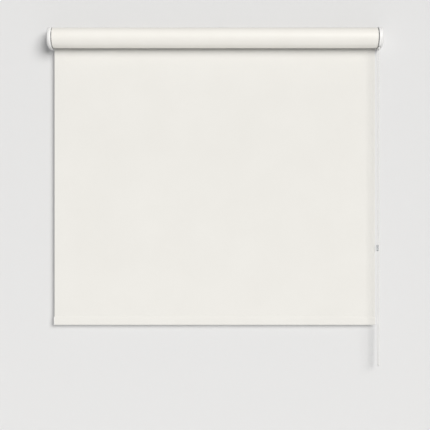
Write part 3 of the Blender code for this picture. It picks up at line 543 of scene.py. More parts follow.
def arc(centre, radius, start, end, steps):
    """Points round a circle in a section, from one angle to another."""
    points = []
    for i in range(steps + 1):
        angle = math.radians(start + (end - start) * i / steps)
        points.append((centre[0] + radius * math.cos(angle), centre[1] + radius * math.sin(angle)))
    return points


def about_axis(radius, angle):
    return arc(AXIS, radius, angle, angle, 1)[0]


def angle_over(rise, radius):
    """The angle, in degrees, whose sine is rise over radius."""
    return math.degrees(math.asin(rise / radius))


def box_outline(low, high):
    return [low, (high[0], low[1]), high, (low[0], high[1])]


def rounded(outline, radius, steps=3, sharper_than=28, most_of_side=0.45):
    """The outline with its sharp corners rounded."""
    points = [Vector(p) for p in outline]
    eased = []
    for i, corner in enumerate(points):
        before = points[i - 1] - corner
        after = points[(i + 1) % len(points)] - corner
        turn = 180 - math.degrees(before.angle(after))
        if turn < sharper_than:
            eased.append(tuple(corner))
            continue
        reach = min(radius * math.tan(math.radians(turn) / 2),
                    most_of_side * before.length, most_of_side * after.length)
        start = corner + before.normalized() * reach
        end = corner + after.normalized() * reach
        for k in range(steps + 1):
            t = k / steps
            eased.append(tuple((1 - t) ** 2 * start + 2 * t * (1 - t) * corner + t ** 2 * end))
    return eased


def cap_outline(inset=0):
    """Round front about the roller's axis, flat top, foot and back, rounded rear corners."""
    radius, back, corner = CAP_RADIUS - inset, CAP_BACK - inset, CAP_CORNER - inset
    return (
        arc(AXIS, radius, 90, 270, FRONT_STEPS)
        + arc((back - corner, corner - radius), corner, 270, 360, CORNER_STEPS)
        + arc((back - corner, radius - corner), corner, 0, 90, CORNER_STEPS)
    )


def joined_up(shape, points, closed=True):
    """Adds vertices at points, joined in a ring or a row, and gives their edges."""
    corners = [shape.verts.new(point) for point in points]
    nexts = corners[1:] + corners[:1] if closed else corners[1:]
    return [shape.edges.new(pair) for pair in zip(corners, nexts)]


def outward(shape):
    """The shape with its faces turned outwards."""
    bmesh.ops.recalc_face_normals(shape, faces=shape.faces[:])
    return shape


def thickened(shape, step):
    """Flat faces made a closed solid, by a copy of them moved by step."""
    moved = bmesh.ops.extrude_face_region(shape, geom=shape.faces[:])["geom"]
    far_side = [item for item in moved if isinstance(item, bmesh.types.BMVert)]
    bmesh.ops.translate(shape, verts=far_side, vec=step)
    return outward(shape)


def run_along(outlines, x_from, x_to):
    """A closed solid run along X. The first outline is its outside and the others are holes."""
    shape = bmesh.new()
    for outline in outlines:
        joined_up(shape, [(x_from, y, z) for y, z in outline])
    bmesh.ops.triangle_fill(shape, use_beauty=True, edges=shape.edges[:])
    bmesh.ops.dissolve_limit(shape, angle_limit=0.01, verts=[], edges=shape.edges[:])
    return thickened(shape, (x_to - x_from, 0, 0))


def ease_ends(shape, width, segments=2):
    """Bevels the edges round both ends of a solid that runs along X."""
    ends = [edge for edge in shape.edges
            if sum(abs(face.normal.x) > END_FACING for face in edge.link_faces) == 1]
    bmesh.ops.bevel(shape, geom=ends, offset=width, offset_type="OFFSET", segments=segments,
                    profile=0.5, affect="EDGES", material=-1, clamp_overlap=True)
    return shape


def turned(profile, centre=(0, AXIS_Y, 0), axis=(1, 0, 0), segments=FINE_ROUND, ring=False):
    """A turned solid. The profile is (distance along the axis, radius), a closed ring or from
    the axis back to the axis."""
    along = Vector(axis)
    away = Vector((0, 0, 1)) if along.z == 0 else Vector((1, 0, 0))
    shape = bmesh.new()
    joined_up(shape, [Vector(centre) + along * a + away * r for a, r in profile], ring)
    bmesh.ops.spin(shape, geom=shape.verts[:] + shape.edges[:], cent=centre, axis=axis,
                   angle=2 * math.pi, steps=segments, use_merge=True)
    bmesh.ops.remove_doubles(shape, verts=shape.verts[:], dist=SAME_PLACE)
    return outward(shape)


def rod(start, end, radius, centre=(0, AXIS_Y, 0), axis=(1, 0, 0), segments=SMALL_ROUND):
    return turned(((start, 0), (start, radius), (end, radius), (end, 0)), centre, axis, segments)


def block(corner, opposite):
    """A box between two opposite corners."""
    low, high = (Vector(map(pick, corner, opposite)) for pick in (min, max))
    place = Matrix.Translation((low + high) / 2) @ Matrix.Diagonal((high - low).to_4d())
    shape = bmesh.new()
    bmesh.ops.create_cube(shape, size=1, matrix=place)
    return shape


def put(name, data):
    """A new object in the scene."""
    thing = bpy.data.objects.new(name, data)
    bpy.context.scene.collection.objects.link(thing)
    return thing


def put_shape(name, shape):
    mesh = bpy.data.meshes.new(name)
    shape.to_mesh(mesh)
    shape.free()
    return put(name, mesh)


def taken_from(thing, *others):
    """The shape of an object with its modifiers. The object and any others are let go."""
    evaluated = thing.evaluated_get(bpy.context.evaluated_depsgraph_get())
    shape = bmesh.new()
    shape.from_mesh(evaluated.to_mesh())
    evaluated.to_mesh_clear()
    for done in (thing, *others):
        bpy.data.batch_remove([done, done.data])
    return shape


def fitted(shape, joined=(), cut=()):
    """The shape with others joined to it and then others cut out of it."""
    base = put_shape("scratch", shape)
    tools = []
    for operation, others in (("UNION", joined), ("DIFFERENCE", cut)):
        for other in others:
            tools.append(put_shape("scratch", other))
            modifier = base.modifiers.new(operation, "BOOLEAN")
            modifier.operation = operation
            modifier.solver = "EXACT"
            modifier.object = tools[-1]
    result = taken_from(base, *tools)
    bmesh.ops.remove_doubles(result, verts=result.verts[:], dist=MERGE)
    bmesh.ops.dissolve_degenerate(result, edges=result.edges[:], dist=MERGE)
    bmesh.ops.holes_fill(result, edges=[e for e in result.edges if e.is_boundary], sides=8)
    return result


def gathered(shapes):
    """Several closed shapes in one."""
    mesh = bpy.data.meshes.new("scratch")
    whole = bmesh.new()
    for shape in shapes:
        shape.to_mesh(mesh)
        shape.free()
        whole.from_mesh(mesh)
    bpy.data.meshes.remove(mesh)
    return whole


def tube_along(points, diameter, sides=2, endless=False):
    """A round wire along points, as a closed shape."""
    curve = bpy.data.curves.new("scratch", "CURVE")
    curve.dimensions = "3D"
    curve.bevel_depth = diameter / 2
    curve.bevel_resolution = sides
    curve.use_fill_caps = True
    spline = curve.splines.new("POLY")
    spline.points.add(len(points) - 1)
    spline.use_cyclic_u = endless
    for point, place in zip(spline.points, points):
        point.co = (*place, 1)
    shape = taken_from(put("scratch", curve))
    bmesh.ops.remove_doubles(shape, verts=shape.verts[:], dist=SAME_PLACE)
    return outward(shape)


def add_piece(name, shape, finish, body, stands_for, ends=None, back=None, crease=CREASE):
    """A finished piece that rides on a body. Faces of its ends and its back may differ."""
    piece = put_shape(name, shape)
    mesh = piece.data
    mesh.materials.append(finish)
    for other, turned_there in ((ends, lambda normal: abs(normal.x) > END_FACING),
                                (back, lambda normal: normal.y > BACK_FACING)):
        if other:
            mesh.materials.append(other)
            for face in mesh.polygons:
                if turned_there(face.normal):
                    face.material_index = 1
    mesh.shade_smooth()
    mesh.set_sharp_from_angle(angle=math.radians(crease))
    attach(piece, body)
    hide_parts(*stands_for)
    return piece


# ---- Camera, light and stage ----


def make_camera():
    lens = bpy.data.cameras.new("camera")
    lens.sensor_width = SENSOR
    lens.lens = SENSOR * (CAMERA_DISTANCE + FABRIC_Y) / SEEN_WIDTH
    camera = put("camera", lens)
    camera.location = (0, -CAMERA_DISTANCE, VIEW_HEIGHT)
    camera.rotation_euler = (math.pi / 2, 0, 0)
    bpy.context.scene.camera = camera


def make_lights():
    """Broad soft light from the room's upper right, a weak one from below and one behind."""
    for name, comes_from, spread, strength, colour in SUNS:
        light = bpy.data.lights.new(name, "SUN")
        light.angle = math.radians(spread)
        light.energy = strength
        light.color = colour
        put(name, light).rotation_euler = Vector(comes_from).to_track_quat("Z", "Y").to_euler()


def make_world():
    world = bpy.data.worlds.new("studio")
    world.use_nodes = True
    background = world.node_tree.nodes["Background"].inputs
    background["Color"].default_value = STUDIO_COLOUR
    background["Strength"].default_value = STUDIO_STRENGTH
    bpy.context.scene.world = world
    bpy.context.scene.view_settings.view_transform = "Standard"


def plaster(name, shade):
    skin = Finish(name, {"Specular IOR Level": 0.1, "Roughness": 0.9})
    skin.feed("Base Color", skin.mix(skin.noise(300, 3.0), (shade,) * 3, (shade + 0.02,) * 3))
    return skin


def make_backdrop():
    """A pale floor, and a pale wall that can be seen only from the room's side."""
    floor, wall = plaster("pale_floor", FLOOR_SHADE), plaster("pale_wall", WALL_SHADE)
    behind = wall.node("ShaderNodeNewGeometry", {}, {}, "Backfacing")
    seen = wall.node("ShaderNodeLightPath", {}, {}, "Is Camera Ray") * (1 - behind)
    clear = wall.node("ShaderNodeBsdfTransparent", {}, {})
    shown = wall.node("ShaderNodeMixShader", {}, {
        0: seen, 1: clear, 2: Value(wall, wall.shader.outputs[0])})
    wall.join(shown, wall.tree.nodes["Material Output"].inputs["Surface"])
    facing_room = Matrix.Translation((0, WALL_Y, 0)) @ Matrix.Rotation(math.pi / 2, 4, "X")
    for skin, place in ((wall, facing_room), (floor, Matrix.Translation((0, 0, FLOOR_Z)))):
        shape = bmesh.new()
        bmesh.ops.create_grid(shape, x_segments=1, y_segments=1, size=STAGE_REACH, matrix=place)
        plane = put_shape(skin.material.name, shape)
        plane.data.materials.append(skin.material)
        plane.visible_shadow = False


# ---- Chain ----


def smooth_route(points, steps):
    """Points on a smooth curve through a route's own points."""
    padded = [2 * points[0] - points[1], *points, 2 * points[-1] - points[-2]]
    smooth = []
    for i in range(len(points) - 1):
        before, start, end, after = padded[i:i + 4]
        for k in range(steps):
            t = k / steps
            smooth.append(0.5 * (
                2 * start + (end - before) * t
                + (2 * before - 5 * start + 4 * end - after) * t ** 2
                + (3 * start - before - 3 * end + after) * t ** 3))
    return [*smooth, points[-1]]


def evenly(points, spacing):
    """Places at an even spacing near the one asked for, and the length that they run over."""
    lengths = [(b - a).length for a, b in zip(points, points[1:])]
    total = sum(lengths)
    count = round(total / spacing)
    places, travelled, i = [], 0.0, 0
    for k in range(count + 1):
        target = min(total * k / count, total)
        while i < len(lengths) - 1 and travelled + lengths[i] < target:
            travelled += lengths[i]
            i += 1
        share = min(1.0, (target - travelled) / lengths[i])
        places.append(points[i].lerp(points[i + 1], share))
    return places, total


def make_chain_connector():
    """The clear barrel that joins the chain's two ends: two snap halves and a waist."""
    centre = (CONNECTOR_LOW + CONNECTOR_HIGH) / 2
    outer = (CONNECTOR_HIGH.x - CONNECTOR_LOW.x) / 2
    half = (CONNECTOR_HIGH.z - CONNECTOR_LOW.z) / 2
    bore = CHAIN_BEAD / 2 + GAP
    upper = []
    for start, radius, steps in ((0, outer, CONNECTOR_WAIST), (half, outer, CONNECTOR_END),
                                 (half, bore, CONNECTOR_MOUTH)):
        upper += [(start + along * MM, radius - inside * MM) for along, inside in steps]
    profile = [(-along, radius) for along, radius in reversed(upper[1:])] + upper
    shape = turned(profile, centre, (0, 0, 1), segments=ROUND, ring=True)
    return add_piece("chain_connector_barrel", shape, CLEAR, "connector", ["chain_connector"])


def make_bead_chain(connector):
    """The endless chain: beads on a core, through the wheel's pockets and round the loop."""
    def at(ahead, height):
        return Vector((CHAIN_X, AXIS_Y - ahead, height))

    front, rear = at(PITCH_RADIUS, 0), at(-PITCH_RADIUS, 0)
    below = [at(ahead * MM, height * MM) for ahead, height in CHAIN_ROUTE]
    free, free_length = evenly(smooth_route([front, *below, rear], ROUTE_STEPS), CHAIN_PITCH)
    over = arc(AXIS, PITCH_RADIUS, 0, 180, BEAD_POCKETS // 2)[1:]
    route = [*free, *[Vector((CHAIN_X, y, z)) for y, z in over]]
    beads = []
    for place in route[:-1]:
        bead = bmesh.new()
        bmesh.ops.create_uvsphere(bead, u_segments=CHAIN_BEAD_AROUND, v_segments=CHAIN_BEAD_UP,
                                  radius=CHAIN_BEAD / 2, matrix=Matrix.Translation(place))
        beads.append(bead)
    core = tube_along(route[:-1], CHAIN_CORE, sides=1, endless=True)
    chain = add_piece("white_bead_chain", gathered([*beads, core]), BEADS, "cassette",
                      ["bead_chain", "chain_core"], crease=SMOOTH_CREASE)
    length = free_length + math.pi * PITCH_RADIUS


# ---- Cassette ----


def screw_port():
    """The open ring in the rail's upper corner, from the top wall round to the back wall."""
    lean = angle_over(PORT_INSET, PORT_OUTER)
    outer_half = angle_over(PORT_SLOT / 2, PORT_OUTER)
    inner_half = angle_over(PORT_SLOT / 2, PORT_BORE)
    return (
        arc(PORT, PORT_OUTER, 180 - lean, PORT_OPENS_AT - outer_half, PORT_STEPS)
        + arc(PORT, PORT_BORE, PORT_OPENS_AT - inner_half, PORT_OPENS_AT + inner_half - 360,
              3 * PORT_STEPS)
        + arc(PORT, PORT_OUTER, PORT_OPENS_AT + outer_half, 270 + lean, PORT_STEPS)
    )


def add_extrusion(outline, name, body, node):
    """A coated extrusion from end to end of the cassette, with bare sawn ends."""
    shape = ease_ends(run_along([rounded(outline, EDGE_EASE)], -END_X, END_X), END_EASE, 1)
    add_piece(name, shape, COAT, body, [node], ends=ALUMINIUM)


def make_back_rail():
    """Back and top of the cassette: an extrusion with screw ports, a foot and the hinge bead."""
    inner_top = RADIUS - RAIL_WALL
    foot_front = RAIL_BACK - FOOT_REACH
    half_lip = RAIL_WALL / 2
    neck = angle_over(half_lip, BEAD_RADIUS)
    corner_y, corner_z = RAIL_BACK - RAIL_CORNER, RADIUS - RAIL_CORNER
    port = screw_port()
    add_extrusion([
        *arc((corner_y, -corner_z), RAIL_CORNER, 270, 360, RAIL_CORNER_STEPS),
        *arc((corner_y, corner_z), RAIL_CORNER, 0, 90, RAIL_CORNER_STEPS),
        (RAIL_FRONT, RADIUS),
        (RAIL_FRONT, HINGE[1] + half_lip),
        *arc(HINGE, BEAD_RADIUS, neck, 360 - neck, BEAD_STEPS),
        (RAIL_FRONT + RAIL_WALL, HINGE[1] - half_lip),
        (RAIL_FRONT + RAIL_WALL, inner_top),
        *port,
        *[(y, -z) for y, z in reversed(port)],
        (foot_front + RAIL_WALL, -inner_top),
        (foot_front + RAIL_WALL, LIP_HEIGHT - RADIUS),
        (foot_front, LIP_HEIGHT - RADIUS),
        (foot_front, -RADIUS),
    ], "cassette_back_rail", "cassette", "back_rail")


def make_front_fascia():
    """The round front, hung by its claw on the rail's bead, with a lip along its lower edge."""
    inner = RADIUS - RAIL_WALL
    claw_inner = BEAD_RADIUS + GAP
    claw_outer = claw_inner + CLAW_WALL
    meets_top = 180 - angle_over(inner - HINGE[1], claw_outer)
    lip_back = AXIS_Y + LIP_FROM_AXIS
    rear_end = HINGE[0] + claw_outer * math.cos(math.radians(CLAW_UPPER_END))
    add_extrusion([
        *arc(HINGE, claw_inner, CLAW_UPPER_END, CLAW_LOWER_END, CLAW_STEPS),
        *arc(HINGE, claw_outer, CLAW_LOWER_END, meets_top, BEAD_STEPS),
        *arc(AXIS, inner, 90, 270, FRONT_STEPS),
        (lip_back - LIP_WALL, -inner),
        (lip_back - LIP_WALL, LIP_HEIGHT - RADIUS),
        (lip_back, LIP_HEIGHT - RADIUS),
        (lip_back, -RADIUS),
        *arc(AXIS, RADIUS, 270, 90, FRONT_STEPS),
        (rear_end, RADIUS),
    ], "cassette_front_fascia", "fascia", "front_fascia")


def make_bracket(name):
    """A pressed steel bracket with rounded corners and two countersunk wall holes."""
    node = "mounting_bracket_" + name
    low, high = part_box(node)
    top_under = RADIUS + GAP
    hook_rear = RAIL_FRONT - GAP
    hook_low = HINGE[1] + RAIL_WALL / 2 + GAP
    bend = (-BRACKET_BEND, high.z - BRACKET_BEND)
    outline = [
        (-BRACKET_SHEET, low.z), (0, low.z),
        *arc(bend, BRACKET_BEND, 0, 90, BEND_STEPS),
        (low.y, high.z), (low.y, hook_low), (hook_rear, hook_low), (hook_rear, top_under),
        *arc(bend, BRACKET_BEND - BRACKET_SHEET, 90, 0, CORNER_STEPS),
    ]
    cut = []
    for side, edge in ((-1, low.x), (1, high.x)):
        inside = edge - side * BRACKET_CORNER
        corner = block((inside, -2 * BRACKET_SHEET, low.z - MM),
                       (edge + side * MM, BRACKET_SHEET, low.z + BRACKET_CORNER))
        keep = rod(-3 * BRACKET_SHEET, 2 * BRACKET_SHEET, BRACKET_CORNER,
                   (inside, 0, low.z + BRACKET_CORNER), (0, 1, 0))
        cut.append(fitted(corner, cut=[keep]))
    wide = WALL_HOLE_RADIUS + COUNTERSINK
    for side in (-1, 1):
        middle = (low.x + high.x) / 2 + side * WALL_HOLE_SPACING / 2
        cut.append(turned([
            (BRACKET_SHEET, 0), (BRACKET_SHEET, WALL_HOLE_RADIUS),
            (COUNTERSINK - BRACKET_SHEET, WALL_HOLE_RADIUS), (-BRACKET_SHEET, wide),
            (-2 * BRACKET_SHEET, wide), (-2 * BRACKET_SHEET, 0),
        ], (middle, 0, WALL_HOLE_HEIGHT), (0, 1, 0), SMALL_ROUND))
    shape = run_along([rounded(outline, EDGE_EASE)], low.x, high.x)
    add_piece("bracket_" + name, fitted(shape, cut=cut), ZINC, "cassette", [node])


def make_end_cup(name, side):
    """The moulding that closes one end: rim, floor, a rib inside the fascia and screw posts."""
    past = CUP_DEPTH + GAP
    floor_inside = side * FLOOR_X
    into_floor = side * (FLOOR_X + CUP_FLOOR / 2)
    rim = run_along([cap_outline()], side * CUP_EDGE_X, side * CUP_OUTER_X)
    hollow = run_along([cap_outline(CUP_WALL)], side * (CUP_EDGE_X - past), floor_inside)
    cup = fitted(ease_ends(rim, RIM_EASE, 3), cut=[hollow])
    rib_outer = RADIUS - RAIL_WALL - GAP
    rib_inner = rib_outer - RIB_WALL
    rib = (arc(AXIS, rib_outer, RIB_FROM, RIB_TO, ROUND)
           + arc(AXIS, rib_inner, RIB_TO, RIB_FROM, ROUND))
    joined = [run_along([rounded(rib, EDGE_EASE)], side * CUP_LOW.x, into_floor)]
    cut = []
    for start, end in zip(RIB_BRIDGES, RIB_BRIDGES[1:]):
        window = (arc(AXIS, rib_outer + GAP, start + RIB_BRIDGE, end, BEAD_STEPS)
                  + arc(AXIS, rib_inner - GAP, end, start + RIB_BRIDGE, BEAD_STEPS))
        cut.append(run_along([window], side * END_X, side * CUP_EDGE_X))
    hole = SCREW_RADIUS + HOLE_PLAY
    for port in dict(PORTS).values():
        joined.append(rod(side * (END_X + GAP), into_floor, hole + POST_WALL, (0, *port)))
        cut.append(rod(side * (END_X - past), side * (CUP_OUTER_X + past), hole, (0, *port)))
    for angle in PEG_ANGLES:
        cut.append(rod(side * (FLOOR_X - CUP_FLOOR / 2), side * (CUP_OUTER_X + CUP_FLOOR),
                       PEG_RADIUS + HOLE_PLAY, (0, *about_axis(PEG_CIRCLE, angle))))
    if side < 0:
        bore = PIN_RADIUS + HOLE_PLAY
        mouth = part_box("idle_plug")[0].x - 2 * GAP
        joined.append(rod(mouth, into_floor, bore + SOCKET_WALL, segments=ROUND))
        cut.append(rod(mouth + CUP_FLOOR, floor_inside, bore, segments=ROUND))
    else:
        cut.append(rod(FLOOR_X - CUP_FLOOR, CUP_OUTER_X + CUP_FLOOR, NECK_RADIUS + HOLE_PLAY,
                       segments=NECK_SIDES))
        half = CHAIN_BEAD / 2 + STRAND_PLAY
        rim_inside = math.sqrt((CAP_RADIUS - CUP_WALL) ** 2 - (PITCH_RADIUS + half) ** 2)
        for middle in (AXIS_Y - PITCH_RADIUS, AXIS_Y + PITCH_RADIUS):
            cut.append(block((CUP_EDGE_X - past, middle - half, -CAP_RADIUS - CUP_WALL),
                             (FLOOR_X - GAP, middle + half, CUP_WALL - rim_inside)))
    cup = fitted(fitted(cup, joined=joined), cut=cut)
    add_piece("cup_" + name, cup, WHITE, "cassette", ["end_cup_" + name])


def make_end_cover(name, side):
    """The domed cover: a shell with a straight skirt, an eased rim and three snap pegs."""
    skirt_end = COVER_RIM_X + COVER_SKIRT
    depth = COVER_HIGH.x - skirt_end
    ease = RIM_EASE / CAP_RADIUS
    sections = [(COVER_RIM_X, 1 - ease), (COVER_RIM_X + RIM_EASE * EASE_BEND, 1 - EASE_BEND * ease),
                (COVER_RIM_X + RIM_EASE, 1)]
    for i in range(DOME_STEPS):
        turn = math.pi / 2 * i / (DOME_STEPS - 0.5)
        sections.append((skirt_end + depth * math.sin(turn), math.cos(turn)))
    shape = bmesh.new()
    last = None
    for x, share in sections:
        ring = joined_up(shape, [(side * x, AXIS_Y + share * (y - AXIS_Y), share * z)
                                 for y, z in cap_outline()])
        if last:
            bmesh.ops.bridge_loops(shape, edges=last + ring)
        last = ring
    shape.faces.new([edge.verts[0] for edge in last])
    outward(shape)
    if sum(face.normal.x * face.calc_area() for face in shape.faces) * side < 0:
        bmesh.ops.reverse_faces(shape, faces=shape.faces[:])
    shell = put_shape("scratch", shape)
    wall = shell.modifiers.new("wall", "SOLIDIFY")
    wall.thickness = COVER_WALL
    wall.offset = -1
    wall.use_even_offset = True
    pegs = []
    for angle in PEG_ANGLES:
        y, z = about_axis(PEG_CIRCLE, angle)
        reach = CAP_RADIUS if y < AXIS_Y else CAP_BACK - AXIS_Y
        top = skirt_end + depth * math.sqrt(1 - (PEG_CIRCLE / reach) ** 2) - COVER_WALL / 2
        pegs.append(rod(side * (FLOOR_X + GAP), side * top, PEG_RADIUS, (0, y, z)))
    add_piece("cover_" + name, fitted(taken_from(shell), joined=pegs), WHITE, "cassette",
              ["end_cover_" + name])


def make_screw(name, side, centre, node):
    """A pan-headed screw with a rolled thread and a cross recess."""
    tip = SCREW_UNDER - SCREW_LENGTH
    crown = SCREW_UNDER + SCREW_HEAD
    along = tip + SCREW_RADIUS
    profile = [(tip, 0), (tip, SCREW_CORE / 2), (along, SCREW_CORE)]
    while along < SCREW_UNDER - 2 * THREAD_PITCH:
        profile += [(along + THREAD_CREST_FROM * THREAD_PITCH, SCREW_RADIUS),
                    (along + THREAD_CREST_TO * THREAD_PITCH, SCREW_RADIUS),
                    (along + THREAD_ROOT_FROM * THREAD_PITCH, SCREW_CORE),
                    (along + THREAD_PITCH, SCREW_CORE)]
        along += THREAD_PITCH
    profile += [(SCREW_UNDER - THREAD_PITCH, SCREW_RADIUS), (SCREW_UNDER, SCREW_RADIUS),
                (SCREW_UNDER, SCREW_HEAD_RADIUS)]
    for k in range(CROWN_STEPS):
        turn = math.pi / 2 * k / CROWN_STEPS
        share = SCREW_CROWN_FLAT + (1 - SCREW_CROWN_FLAT) * math.cos(turn)
        profile.append((SCREW_UNDER + SCREW_HEAD / 2 * (1 + math.sin(turn)),
                        SCREW_HEAD_RADIUS * share))
    profile.append((crown, 0))
    shape = turned([(side * a, r) for a, r in profile], (0, *centre), segments=SMALL_ROUND)
    y, z = centre
    slots = []
    for half_y, half_z in ((RECESS_REACH, RECESS_WIDTH / 2), (RECESS_WIDTH / 2, RECESS_REACH)):
        slots.append(block((side * (crown - RECESS_DEPTH), y - half_y, z - half_z),
                           (side * (crown + MM), y + half_y, z + half_z)))
    add_piece(name, fitted(shape, cut=slots), ZINC, "cassette", [node])


# ---- Roller ----


def make_roller_tube():
    """The aluminium tube with its keyway, and the strip that holds the cloth in it."""
    mouth, room = KEY_MOUTH / 2, KEY_ROOM / 2
    key = room + TUBE_WALL
    mouth_angle = angle_over(mouth, TUBE_RADIUS)
    key_angle = angle_over(key, TUBE_INNER)
    outside = arc(AXIS, TUBE_RADIUS, 90 + mouth_angle, 450 - mouth_angle, FINE_ROUND)
    for half, height in ((mouth, KEY_ROOF), (room, KEY_ROOF), (room, KEY_FLOOR),
                         (-room, KEY_FLOOR), (-room, KEY_ROOF), (-mouth, KEY_ROOF)):
        outside.append((AXIS_Y + half, height))
    inside = arc(AXIS, TUBE_INNER, 90 + key_angle, 450 - key_angle, FINE_ROUND)
    inside += [(AXIS_Y + half, KEY_FLOOR - TUBE_WALL) for half in (key, -key)]
    shape = run_along([rounded(outside, EDGE_EASE), rounded(inside, EDGE_EASE)],
                      TUBE_LEFT, TUBE_RIGHT)
    add_piece("roller_tube_extrusion", shape, ALUMINIUM, "roller", ["roller_tube"])
    half = room - HOLE_PLAY
    strip = box_outline((AXIS_Y - half, KEY_FLOOR + HOLE_PLAY), (AXIS_Y + half, KEY_ROOF - HOLE_PLAY))
    shape = ease_ends(run_along([rounded(strip, STRIP_CORNER)], FABRIC_LEFT, FABRIC_RIGHT), END_EASE)
    add_piece("cloth_spline_strip", shape, WHITE, "roller", ["fabric_spline"])


def make_fabric_roll():
    """The cloth wound on the tube, as a spiral from the keyway that ends at the rear."""
    inner = TUBE_RADIUS + GAP
    layer = (ROLL_HIGH.z - inner - CLOTH) / ROLL_TURNS
    steps = round(ROLL_TURNS * FRONT_STEPS)
    outline = []
    for thick, order in ((WOUND_CLOTH, range(steps + 1)), (0, range(steps, -1, -1))):
        for i in order:
            turns = ROLL_TURNS * i / steps
            angle = math.pi / 2 - 2 * math.pi * turns
            radius = inner + layer * turns + thick
            outline.append((AXIS_Y + radius * math.cos(angle), radius * math.sin(angle)))
    shape = run_along([outline], FABRIC_LEFT, FABRIC_RIGHT)
    add_piece("wound_cloth", shape, WEAVE, "roller", ["fabric_roll"])


def key_room(x_from, x_to):
    """The room that a piece inside the tube leaves for the tube's key."""
    half = KEY_ROOM / 2 + TUBE_WALL + PLUG_PLAY
    low = KEY_FLOOR - TUBE_WALL - PLUG_PLAY
    return run_along([box_outline((AXIS_Y - half, low), (AXIS_Y + half, TUBE_RADIUS))],
                     x_from, x_to)


def add_spring(name, node, x_from, x_to, radius, wire, turns, closing=0.0):
    """A spring round the roller's axis. Closing draws its coils together at both ends."""
    points = []
    steps = turns * COIL_STEPS
    for i in range(steps + 1):
        angle = 2 * math.pi * i / steps
        share = i / steps - closing * math.sin(angle) / (2 * math.pi)
        points.append((x_from + (x_to - x_from) * share,
                       AXIS_Y + radius * math.cos(angle * turns), radius * math.sin(angle * turns)))
    return add_piece(name, tube_along(points, wire), SPRING, "roller", [node],
                     crease=SMOOTH_CREASE)


def make_idle_end():
    """Plug in the tube's left end, with a sprung pin that reaches into the cup's socket."""
    plug_low, plug_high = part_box("idle_plug")
    pin_low, pin_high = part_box("idle_pin")
    spring_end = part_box("idle_pin_spring")[1].x
    ease = IDLE_EASE
    inner_face = TUBE_LEFT - GAP
    chamber_start = inner_face + CHAMBER_WALL
    chamber_end = spring_end + MM / 2
    bore = PIN_RADIUS + HOLE_PLAY
    grooved = []
    for start in PLUG_GROOVES:
        near, far = inner_face + start, inner_face + start + GROOVE_WIDTH
        grooved += [(near, PLUG_BODY), (near, PLUG_BODY - GROOVE_DEPTH),
                    (far, PLUG_BODY - GROOVE_DEPTH), (far, PLUG_BODY)]
    shape = turned([
        (chamber_end, 0), (chamber_end, CHAMBER_RADIUS), (chamber_start, CHAMBER_RADIUS),
        (chamber_start, bore), (plug_low.x + ease, bore), (plug_low.x, bore + ease),
        (plug_low.x, PLUG_RIM - ease), (plug_low.x + ease, PLUG_RIM), (inner_face, PLUG_RIM),
        (inner_face, PLUG_BODY), *grooved, (plug_high.x - 2 * ease, PLUG_BODY),
        (plug_high.x, PLUG_BODY - 2 * ease), (plug_high.x, 0),
    ])
    room = key_room(inner_face + KEY_ROOM_SHY, plug_high.x + KEY_ROOM_PAST)
    add_piece("idle_plug_moulding", fitted(shape, cut=[room]), GREY, "roller", ["idle_plug"])
    collar_start = chamber_start + GAP
    collar_end = collar_start + COLLAR_LENGTH
    pin = turned([
        (pin_low.x, 0), (pin_low.x, PIN_RADIUS - PIN_NOSE),
        (pin_low.x + PIN_NOSE * EASE_BEND, PIN_RADIUS - PIN_NOSE / 2),
        (pin_low.x + PIN_NOSE, PIN_RADIUS), (collar_start, PIN_RADIUS),
        (collar_start, COLLAR_RADIUS - ease), (collar_start + ease, COLLAR_RADIUS),
        (collar_end - ease, COLLAR_RADIUS), (collar_end, COLLAR_RADIUS - ease),
        (collar_end, PIN_STEM), (pin_high.x - ease, PIN_STEM), (pin_high.x, PIN_STEM - ease),
        (pin_high.x, 0),
    ], segments=ROUND)
    add_piece("sprung_idle_pin", pin, ZINC, "idle_pin", ["idle_pin"])
    spring = add_spring("pin_spring", "idle_pin_spring", collar_end + PIN_SPRING_WIRE,
                        spring_end - PIN_SPRING_WIRE / 2, (PIN_STEM + CHAMBER_RADIUS) / 2,
                        PIN_SPRING_WIRE, PIN_SPRING_TURNS, PIN_SPRING_CLOSING)
    travel = JOINTS["idle_pin_slide"]["range_m"][1]
    length = spring_end - collar_end
    (length - travel) / length
    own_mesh(spring)


